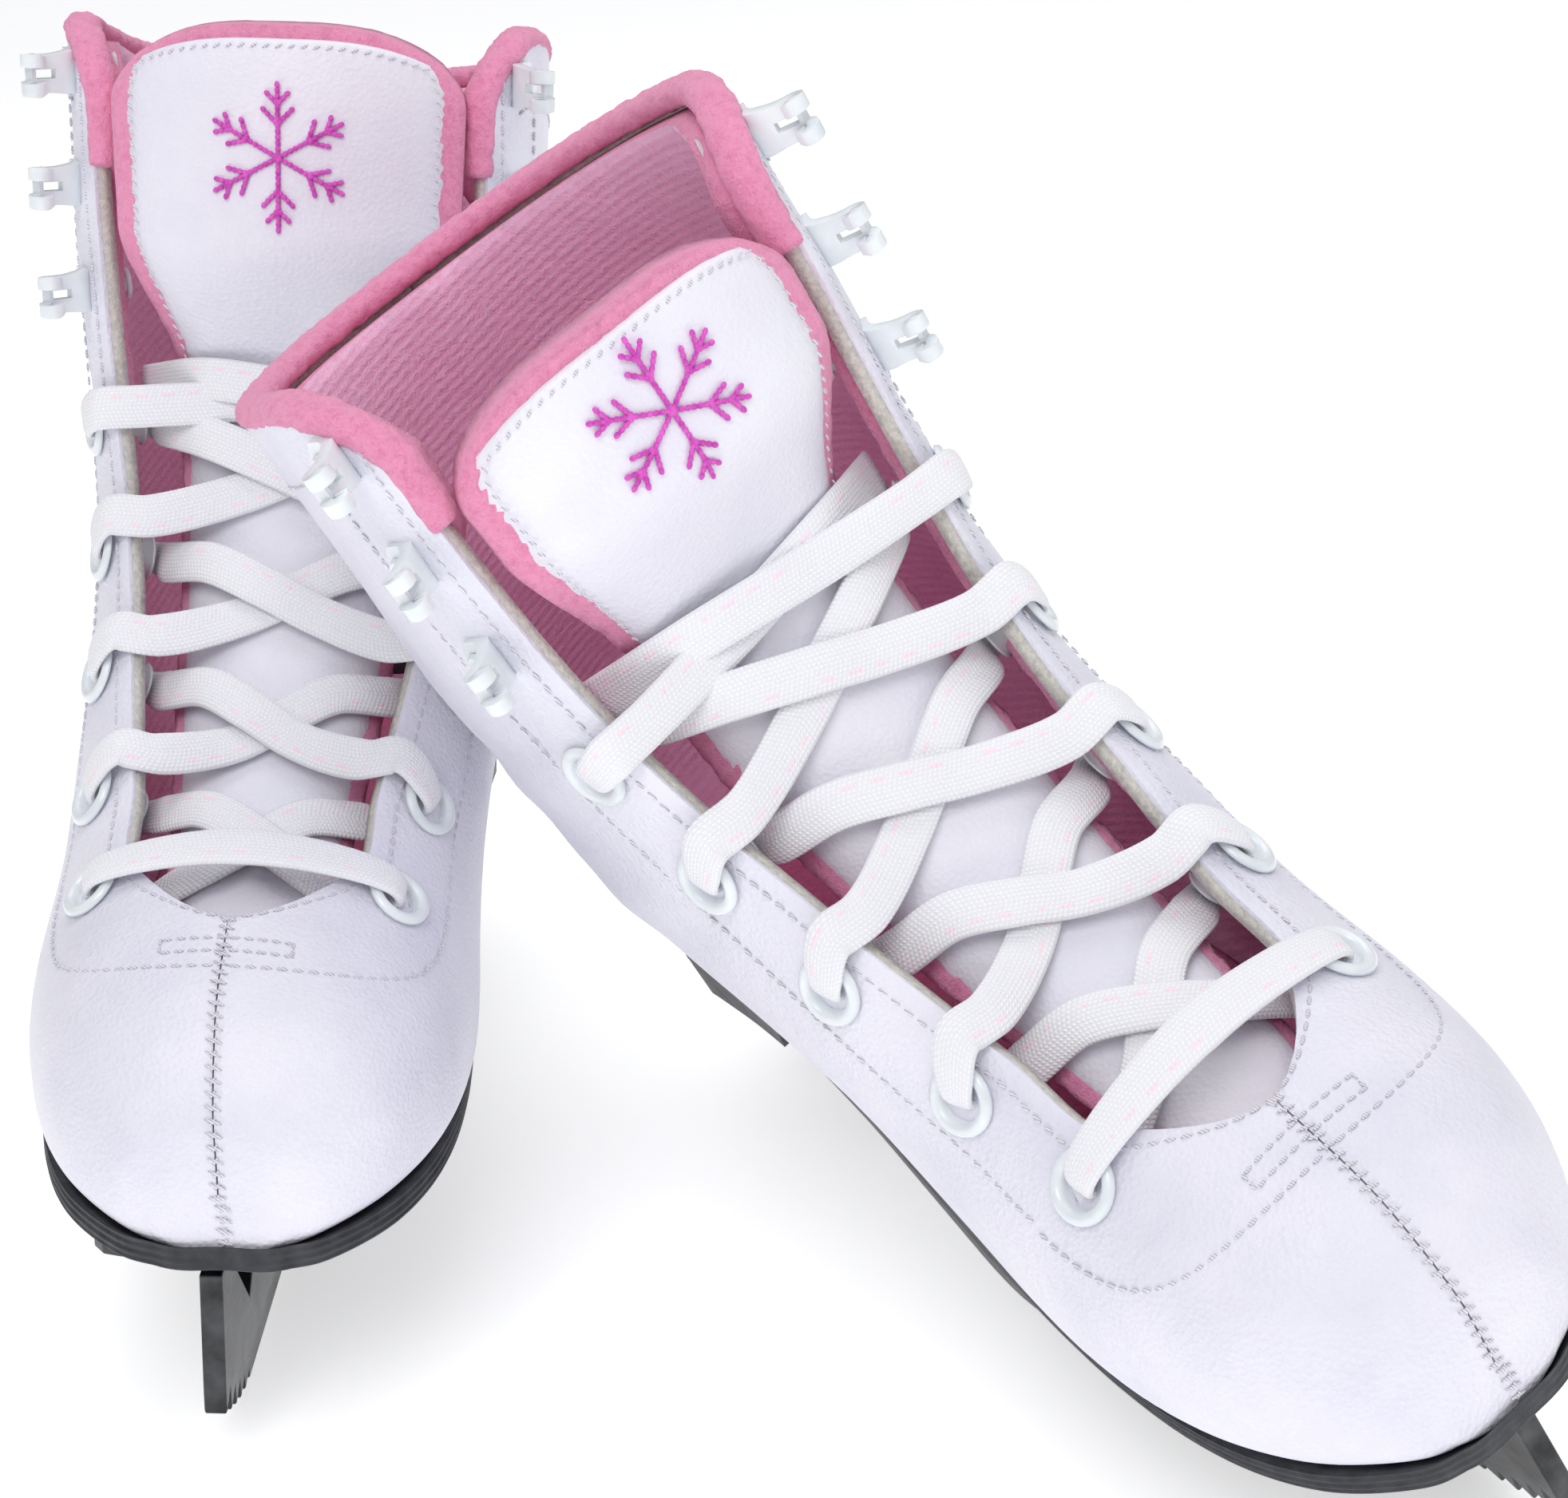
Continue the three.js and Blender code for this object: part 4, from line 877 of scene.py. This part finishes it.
def tongue_point(side, u, q, depth):
    """A point of the tongue at station u, a share q of its half width, and a depth below its lifted front."""
    top = tongue_top[side]
    u, q, depth = np.broadcast_arrays(*(np.asarray(a, float) for a in (u, q, depth)))
    a, b = station(u - 0.05), station(u + 0.05)
    dy, dz = b["top_y"] - a["top_y"], b["top_z"] - a["top_z"]
    length = np.hypot(dy, dz)
    dy, dz = dy / length, dz / length
    corner = np.clip((u - (top - 0.9)) / 0.9, 0, 1) ** 3
    x = spline(tongue_half, u) * (1 - 0.14 * corner) * q
    under = skin(side, u, turn_at(u, x), inner_depth + 4.9 + depth)
    s = station(u)
    sunk = 7 * q * q + depth - spline(tongue_lift, u)
    drop = 7 * np.abs(q) ** 3 * smooth(top - 1.4, top, u)
    free = np.stack([x, s["top_y"] + dz * sunk - dy * drop, s["top_z"] - dy * sunk - dz * drop], -1)
    return mix(under, free, smooth(10.3, 11.8, u)[..., None])


def tongue_thick(u):
    return mix(5.0, 8.0, smooth(9.5, 12, u))


def tongue_sheet(side, low, high, shrink, front, back, puff=0.0, rough=0.0):
    """A part of the tongue between two depths, each a share of its thickness, drawn in by shrink mm at its edges."""
    def surface(share, sign):
        def place(s, r):
            u = mix(low, high, s)
            q = (2 * r - 1) * (1 - shrink / spline(tongue_half, u))
            thin = 1 - 0.55 * np.abs(2 * r - 1) ** 6
            crown = puff * (1 - (2 * r - 1) ** 4) * (1 - (2 * s - 1) ** 6)
            depth = tongue_thick(u) * (0.5 + (share - 0.5) * thin) - sign * crown
            spots = tongue_point(side, u, q, depth)
            return tongue_point(side, u, q, depth + pile(spots, rough)) if rough else spots
        return place

    return surface(front, 1), surface(back, -1)


for name, (side, matrix) in skate.items():
    top = tongue_top[side]
    tongue_body = f"{name}_tongue"
    core = slab(40, 120, *tongue_sheet(side, 3.75, top, 0.0, 0.14, 1.0, rough=0.5))
    core = finish_piece("tongue_core", name, core, [fleece], body=None,
                        replaces=["tongue_lower", "tongue_pad"])
    start, end = (metres @ matrix @ Vector(tongue_point(side, u, 0.0, 3.0)) for u in (10.1, 11.1))
    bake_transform(core)
    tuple(start)
    lower = slab(32, 90, *tongue_sheet(side, 3.85, 10.8, panel_inset, -0.06, 0.3))
    lower = finish_piece("tongue_lower_facing", name, lower, [tongue_vinyl], body=None, bevel=0.4)
    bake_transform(lower)
    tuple(start)
    panel = slab(36, 60, *tongue_sheet(side, panel_low, top - 0.14, panel_inset, -0.02, 0.5, puff=1.4))
    panel = finish_piece("tongue_panel", name, panel, [tongue_vinyl], body=tongue_body, bevel=0.5)
print("tongues made")

# %% Tongue stitching and a stitched motif
for name, (side, _) in skate.items():
    top = tongue_top[side]
    tongue_body = f"{name}_tongue"

    def panel_path(inset, count=80):
        low, high = panel_low + inset / 19, top - 0.16 - inset / 19
        shares = np.linspace(0, 1, count)
        up, down = mix(low, high, shares), mix(high, low, shares)
        u = np.concatenate([np.full(count, low), up, np.full(count, high), down])
        r = np.concatenate([mix(0, 1, shares), np.ones(count), mix(1, 0, shares), np.zeros(count)])
        q = (2 * r - 1) * (1 - (panel_inset + inset) / spline(tongue_half, u))
        return u, q

    def on_tongue(u, q, lift):
        thin = 1 - 0.55 * np.abs(q) ** 6
        depth = tongue_thick(u) * (0.5 - 0.52 * thin) - lift
        spot = tongue_point(side, u, q, depth)
        deeper = tongue_point(side, u, q, depth + 1.0)
        return spot, unit(spot - deeper)

    bm = bmesh.new()
    u, q = panel_path(1.0)
    stitches(bm, *on_tongue(u, q, 0.35), pitch=2.2, length=1.5, radius=0.27, slant=0.5)
    finish_piece("panel_stitching", name, bm, [thread], body=tongue_body)
    bm = bmesh.new()
    # A plain six-armed frost star in pink thread.
    middle_u, arm_mm = (10.75 + top) / 2 + 0.25, 13.5
    branches = [(0, 0.0, 1.0)] + [(turn, *twig) for twig in ((0.45, 0.32), (0.72, 0.2)) for turn in (0.75, -0.75)]
    for k in range(6):
        angle = math.radians(60 * k + 30)
        for turn, start, reach in branches:
            base = np.array([math.cos(angle), math.sin(angle)]) * arm_mm * start
            way = np.array([math.cos(angle + turn), math.sin(angle + turn)]) * arm_mm * reach
            marks = base + way * np.linspace(0, 1, 12)[:, None]
            u = middle_u + marks[:, 1] / 16.5
            q = marks[:, 0] / spline(tongue_half, u)
            stitches(bm, *on_tongue(u, q, 1.75), pitch=1.0, length=1.3, radius=0.5)
    finish_piece("panel_embroidery", name, bm, [pink_thread], body=tongue_body)
print("tongue stitching done")

# %% [markdown]
# ## Eyelets
#
# An eyelet is a short metal barrel pushed through the facing, its front rolled over into a white enamelled ring.
# Its section is drawn once and spun all the way round.


# %% Eyelets
def fitting_frame(side, u, hand, set_back):
    """x rearwards along the skin, y up the facing, z outwards."""
    turn = hand * float(walk(side, u, set_back))
    z = outward(side, u, turn)
    y = unit(skin(side, u + 0.1, turn) - skin(side, u - 0.1, turn))
    x = unit(np.cross(y, z)) * (-1 if hand > 0 else 1)
    y = unit(np.cross(z, x))
    at = skin(side, u, turn)
    return Matrix([[x[k], y[k], z[k], at[k]] for k in range(3)] + [[0, 0, 0, 1]])


def spun(section, steps, matrix):
    """Spins a section of (radius, height) points all the way round into a closed ring."""
    bm = bmesh.new()
    verts = [bm.verts.new((radius, 0, height)) for radius, height in section]
    edges = [bm.edges.new((verts[i], verts[(i + 1) % len(verts)])) for i in range(len(verts))]
    bmesh.ops.spin(bm, geom=verts + edges, cent=(0, 0, 0), axis=(0, 0, 1), angle=2 * math.pi, steps=steps,
                   use_merge=True)
    bmesh.ops.remove_doubles(bm, verts=bm.verts, dist=0.001)
    bmesh.ops.transform(bm, matrix=matrix, verts=bm.verts)
    return bm


through = upper_wall + gap + lining_wall
eyelet_inset, hook_inset = 9.5, 8.5
ring = [(3.35, -through - 2.1), (4.2, -through - 2.1), (4.2, -through - 1.6), (3.9, -through - 1.6)]
ring += [(3.9, 0.3), (4.4, 0.35)]
for k in range(9):
    angle = math.pi * k / 8
    ring.append((4.7 + 1.15 * math.cos(angle), 0.55 + 1.15 * math.sin(angle)))
ring += [(3.4, 0.1), (3.35, -1.0)]
for name, (side, _) in skate.items():
    for word, hand in halves:
        for row, u in enumerate(eyelet_rows):
            bm = spun(ring, 32, fitting_frame(side, u, hand, eyelet_inset))
            finish_piece(f"eyelet_{word}_{row + 1}_ring", name, bm, [enamel],
                         replaces=[f"eyelet_{word}_{row + 1}"])
print("eyelets made:", 4 * len(eyelet_rows))

# %% [markdown]
# ## Lace hooks
#
# A speed-lacing hook is one stamped strip, riveted down, that stands out from the facing and curls back over the
# lace. Its two prongs have a window between them. The strip is a grid bent along the hook's side view, with the
# window's faces taken out, then given its metal thickness and rounded edges.

# %% Hooks
hook_line = [(-4.6, 0.95), (-2.6, 0.95), (-0.6, 1.05), (0.9, 1.7), (1.6, 3.4), (2.1, 5.2), (2.45, 6.7)]
for k in range(9):
    angle = math.pi - (k / 8) * 1.32 * math.pi
    hook_line.append((4.8 + 2.3 * math.cos(angle), 7.6 + 2.3 * math.sin(angle)))
hook_line = np.array(hook_line)


def hook_mesh(matrix):
    bm, across, along = grid(16, 48)
    line_at = along * (len(hook_line) - 1)
    x, z = spline(hook_line[:, 0], line_at), spline(hook_line[:, 1], line_at)
    half = 3.9 - 0.55 * smooth(0.16, 0.34, along) + 0.45 * smooth(0.55, 0.8, along) - 0.5 * smooth(0.9, 1, along)
    y = (2 * across - 1) * half
    foot = np.clip((0.16 - along) / 0.16, 0, 1)
    x = x + 1.7 * foot * (2 * across - 1) ** 2
    lay(bm.verts, np.stack([x, y, z], -1))
    gone = []
    for face in bm.faces:
        a = np.mean([along[v.index] for v in face.verts])
        r = abs(np.mean([across[v.index] for v in face.verts]) - 0.5)
        window = 0.3 < a < 0.44 and r < 0.13
        split = a > 0.55 and r < 0.19
        if window or split:
            gone.append(face)
    bmesh.ops.delete(bm, geom=gone, context="FACES")
    bmesh.ops.recalc_face_normals(bm, faces=bm.faces)
    bmesh.ops.solidify(bm, geom=bm.faces[:], thickness=2.0)
    # The rivet: its head, its shank through the facing and the cap inside the shaft.
    for radius, low, high in ((1.9, 1.2, 2.1), (1.6, -through - 1.9, 1.2), (3.0, -through - 2.2, -through - 1.6)):
        bmesh.ops.create_cone(bm, cap_ends=True, segments=20, radius1=radius, radius2=radius * 0.86,
                              depth=high - low, matrix=Matrix.Translation((-2.2, 0, (low + high) / 2)))
    bmesh.ops.transform(bm, matrix=matrix, verts=bm.verts)
    return bm


for name, (side, _) in skate.items():
    for word, hand in halves:
        for row, u in enumerate(hook_rows):
            bm = hook_mesh(fitting_frame(side, u, hand, hook_inset))
            finish_piece(f"hook_{word}_{row + 1}_strip", name, bm, [enamel], bevel=0.5,
                         replaces=[f"hook_{word}_{row + 1}"])
print("hooks made:", 4 * len(hook_rows))

# %% [markdown]
# ## Lace
#
# The lace is one flat woven tape: a bar across the bottom pair of eyelets, then criss-cross over the tongue and
# under the facings. It is held by the eyelets all the way and both ends are tucked away inside the boot, so it is
# a swept ribbon and not a loose cord. It narrows where it is pinched through an eyelet.


# %% Lace
half_tape, under_boot = 3.9, -9.6


def lace_knots(side):
    """Knots of (place, normal, half width) from one tucked end to the other."""
    def on(u, distance, lift, width=half_tape):
        turn = math.copysign(1, distance) * float(walk(side, u, abs(distance)))
        normal = outward(side, u, turn)
        return skin(side, u, turn) + normal * lift, normal, width

    def over_tongue(u, x, lift):
        spot = tongue_point(side, u, x / spline(tongue_half, u), -lift)
        return spot, outward(side, u, float(turn_at(u, x))), half_tape

    def over_edge(u, hand):
        x = hand * (float(facing_half(u)) - 3.8)
        turn = float(turn_at(u, x))
        normal = unit(outward(side, u, turn) * 0.6 + np.array([-hand, 0, 0]))
        return [on(u, hand, 2.9), (skin(side, u, turn, 2.0), normal, half_tape)]

    def across(u, onward, hand, start, tuck=2):
        first, final = hand * (float(facing_half(u)) - start), -hand * (float(facing_half(onward)) - 2.5)
        knots = []
        for share in (0.22, 0.5, 0.78):
            lift = 2.3 + (2.2 * math.sin(math.pi * share) if hand > 0 else 0)
            knots.append(over_tongue(mix(u, onward, share), mix(first, final, share), lift))
        return knots + [on(onward - 0.1, -hand * tuck, under_boot)]

    def through_eyelet(u, hand, rise=0.0):
        return [on(u + rise, hand * eyelet_inset, under_boot, 3.0), on(u, hand * eyelet_inset, -4, 2.5),
                on(u, hand * eyelet_inset, 1.2, 2.6)]

    def climb(k, hand):
        u = eyelet_rows[k]
        onward = eyelet_rows[k + 1] if k + 1 < len(eyelet_rows) else u + 0.5
        rise = onward - 0.1 - u
        return [
            *through_eyelet(u, hand), on(u + 0.07 * rise, hand * 6.1, 3.0, 3.3), *over_edge(u + 0.2 * rise, hand),
            *across(u + 0.25 * rise, onward, hand, 7, 2 if k < 4 else 10),
        ]

    def foot(hand):
        u = eyelet_rows[0]
        return [
            on(u, hand * 6.1, 3.0, 3.3), *through_eyelet(u, hand, 0.02)[::-1],
            on(u + 0.14, hand * 1.5, under_boot), *across(u + 0.16, eyelet_rows[1], hand, 2.5),
        ]

    def strand(first):
        return [knot for i in range(4) for knot in climb(i + 1, -first if i % 2 == 0 else first)]

    normal = outward(side, eyelet_rows[0], 0.001)
    bar = (skin(side, eyelet_rows[0], 0.0) + normal * 2.2, normal, 4.3)
    right, left = foot(1) + strand(1), foot(-1) + strand(-1)
    return left[::-1] + [bar] + right


def centripetal(points, steps):
    """A centripetal Catmull-Rom curve through the points, steps to each span, with its knot parameter."""
    points = np.asarray(points)
    padded = np.vstack([2 * points[0] - points[1], points, 2 * points[-1] - points[-2]])
    curve, marks = [], []
    for i in range(1, len(padded) - 2):
        p = padded[i - 1 : i + 3]
        apart = np.maximum(np.linalg.norm(np.diff(p, axis=0), axis=1), 1e-4)
        t = np.concatenate([[0], np.cumsum(np.sqrt(apart))])
        for s in np.arange(steps) / steps:
            x, q = mix(t[1], t[2], s), p
            # Three rounds of mixing neighbours leave one point. The last round's knots are t1 and t2.
            for first, last_one in (((0, 1, 2), (1, 2, 3)), ((0, 1), (2, 3)), ((1,), (2,))):
                q = [q[k] * (t[b] - x) / (t[b] - t[a]) + q[k + 1] * (x - t[a]) / (t[b] - t[a])
                     for k, (a, b) in enumerate(zip(first, last_one))]
            curve.append(q[0])
            marks.append(i - 1 + s)
    curve.append(points[-1])
    marks.append(len(points) - 1)
    return np.array(curve), np.array(marks)


def ribbon(knots, thickness=1.7, steps=9, columns=20):
    """A flat closed tape through the knots, and its length."""
    places, normals, widths = zip(*knots)
    curve, marks = centripetal(places, steps)
    near = sampled(marks, np.arange(len(knots)), np.array(normals))
    half = np.interp(marks, np.arange(len(knots)), widths)
    along = unit(np.gradient(curve, axis=0))
    for _ in range(4):
        near[1:-1] = unit(near[:-2] + 2 * near[1:-1] + near[2:])
    side_way = unit(np.cross(along, near))
    normal = np.cross(side_way, along)
    run = run_of(curve)
    rows = len(curve) - 1
    bm, around, share = grid(columns, rows)
    i = np.rint(share * rows).astype(int)
    angle = 2 * math.pi * around
    w = np.sign(np.cos(angle)) * np.abs(np.cos(angle)) ** 0.55
    h = np.sign(np.sin(angle)) * np.abs(np.sin(angle)) ** 0.8
    spots = curve[i] + side_way[i] * (w * half[i])[:, None] + normal[i] * (h * thickness / 2)[:, None]
    weave = bm.loops.layers.uv.active
    bm.verts.index_update()
    lateral = 0.5 + 0.5 * w
    for face in bm.faces:
        for loop in face.loops:
            k = loop.vert.index
            loop[weave].uv = (lateral[k], run[i[k]])
    closed_tube(bm, spots, i, around)
    bmesh.ops.holes_fill(bm, edges=[edge for edge in bm.edges if edge.is_boundary], sides=0)
    return bm, run[-1]


for name, (side, _) in skate.items():
    bm, length = ribbon(lace_knots(side))
    finish_piece("lace_tape", name, bm, [lace_cotton], replaces=["lace"])
    print(f"{name} lace: {length:.0f} mm on its route")

# %% [markdown]
# ## Sole
#
# The sole and heel are one black moulding, ridged round its edge like stacked leather. Cross-sections from the
# heel to the toe are closed loops: flat below, sloped and then ridged at the sides, and laid on the boot above.

# %% Sole
def along_mm(share):
    return boot_length * (0.5 - share)


def height_mm(share):
    return ice_to_ball + boot_height * share


def sole_rim(side, u):
    """The sole's outer edge (rims 1 and -1), the narrower edge of its underside (2 and -2), and its height."""
    reach = {hand: skin(side, u, hand * 0.66 * math.pi) for hand in (-1, 1)}
    rims = {}
    for hand, line in reach.items():
        tangent = unit(np.gradient(line, u, axis=0) * [1, 1, 0])
        off = np.stack([-tangent[:, 1], tangent[:, 0], np.zeros(len(u))], -1) * -hand
        off[0] = (0, -1, 0)
        rims[hand] = line + off * 0.9
        rear = smooth(4.8, 6.2, u)[:, None]
        rims[2 * hand] = line - off * 5.4 * (1 - rear) + off * 0.9 * rear
        rims[hand][:, 2] = skin(side, u, hand * 0.78 * math.pi)[:, 2] + 0.6
    tip = 0.5 * (reach[1][0, 0] + reach[-1][0, 0])
    for rim in rims.values():
        rim[0, 0] = tip
    under_y = [*map(along_mm, (1.0, 0.93, 0.56, 0.42)), along_mm(0) - 61, along_mm(0) - 56, along_mm(-0.05)]
    under_z = [43.5, 38.6, 38.3, height_mm(0.06) - 6.8, height_mm(0.085) - 6.8, 45.3, 45.3]
    return rims, np.interp(rims[1][:, 1], under_y, under_z)


for name, (side, _) in skate.items():
    u = np.concatenate([np.linspace(0, 1, 14) ** 2, np.linspace(1, 8.9, 90), np.linspace(7.8, 8.15, 12)])
    u = np.unique(u) + 0.002
    rims, low = sole_rim(side, u)
    bm, around, along = grid(128, len(u) - 1)
    i = np.rint(along * (len(u) - 1)).astype(int)
    leg, t = np.floor(around * 4).astype(int) % 4, (around * 4) % 1
    top = skin(side, u[i], np.where(leg == 2, mix(0.8, 1.2, t), 0.8) * math.pi, -0.35)
    rise = np.where(leg == 1, t, 1 - t)
    waves = 0.22 * np.cos(2 * math.pi * (rise - 0.35) / 0.65 * 3)
    ridge = waves * smooth(0.35, 0.42, rise) * (1 - smooth(0.94, 1, rise))
    lip = rims[1][i, 2] + 0.6
    left, right = rims[-1][i], rims[1][i]
    middle = 0.5 * (left + right)
    away = unit((right - middle) * [1, 1, 0])
    knee = mix(lip - 4.4, mix(low[i], lip, 0.35), smooth(4.8, 6.2, u[i]))
    knee = np.maximum(knee, low[i] + 0.4)

    def wall(hand, rise):
        """A ridged band at the top and a slope under it that runs in to the plate."""
        edge, inner = rims[hand][i], rims[2 * hand][i]
        low_part = np.clip(rise / 0.35, 0, 1)
        plan = mix(inner, edge, low_part[:, None])
        height = np.where(rise < 0.35, mix(low[i], knee, low_part), mix(knee, lip, (rise - 0.35) / 0.65))
        return np.stack([plan[:, 0], plan[:, 1], height], -1)

    blend_in = smooth(0.0, 0.07, np.minimum(t, 1 - t))
    lip_line = np.where((t < 0.5)[:, None], right, left) * [1, 1, 0] + lip[:, None] * [0, 0, 1]
    spots = np.zeros((len(t), 3))
    for k, point in (
        (0, np.stack([*mix(rims[-2][i], rims[2][i], t[:, None]).T[:2], low[i]], -1)),
        (1, wall(1, rise) + away * ridge[:, None]),
        (3, wall(-1, rise) - away * ridge[:, None]),
        (2, mix(lip_line, top, blend_in[:, None])),
    ):
        spots[leg == k] = point[leg == k]
    closed_tube(bm, spots, i, around, merge=0.01)
    bmesh.ops.holes_fill(bm, edges=[edge for edge in bm.edges if edge.is_boundary], sides=0)
    finish_piece("sole_moulding", name, bm, [sole_plastic], replaces=["outsole"])
print("soles made")

# %% [markdown]
# ## Blade, plates and boards
#
# The CAD runner and plates already have the right outline. Each is copied, its triangles are joined into clean
# faces, and its edges are rounded so that they catch the light. The boards inside keep their CAD shape.


# %% Blade and plates
def refined(name, skate_name, node, finish, width, narrow=0.0):
    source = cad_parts[f"{skate_name}_{node}"]
    bm = bmesh.new()
    bm.from_mesh(source.data)
    bmesh.ops.remove_doubles(bm, verts=bm.verts, dist=0.00001)
    across = (skate[skate_name][1].to_3x3() @ Vector((1, 0, 0))).normalized()
    middle = sum((vert.co for vert in bm.verts), Vector()) / len(bm.verts)
    for vert in bm.verts:
        vert.co -= across * (vert.co - middle).dot(across) * narrow
    bmesh.ops.dissolve_limit(bm, angle_limit=math.radians(1.5), verts=bm.verts, edges=bm.edges)
    bmesh.ops.recalc_face_normals(bm, faces=bm.faces)
    sharp = [e for e in bm.edges if len(e.link_faces) == 2 and e.calc_face_angle() > math.radians(25)]
    bmesh.ops.bevel(bm, geom=sharp, offset=width / 1000, segments=2, profile=0.5, affect="EDGES", material=-1,
                    clamp_overlap=True)
    bmesh.ops.recalc_face_normals(bm, faces=bm.faces)
    mesh = bpy.data.meshes.new(f"{skate_name}_{name}")
    bm.to_mesh(mesh)
    bm.free()
    mesh.materials.append(finish.material)
    piece = bpy.data.objects.new(f"{skate_name}_{name}", mesh)
    bpy.context.collection.objects.link(piece)
    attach(piece, "skates")
    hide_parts(f"{skate_name}_{node}")
    return piece


for name in skate:
    blade = refined("blade", name, "runner", blade_steel, 0.35)
    refined("front_sole_plate", name, "front_plate", blade_steel, 0.3, narrow=0.16)
    refined("heel_sole_plate", name, "heel_plate", blade_steel, 0.3)
    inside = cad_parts[f"{name}_lasting_board"]
    inside.material_slots[0].link = "OBJECT"
    inside.material_slots[0].material = board.material
print("blade faces:", len(blade.data.polygons))
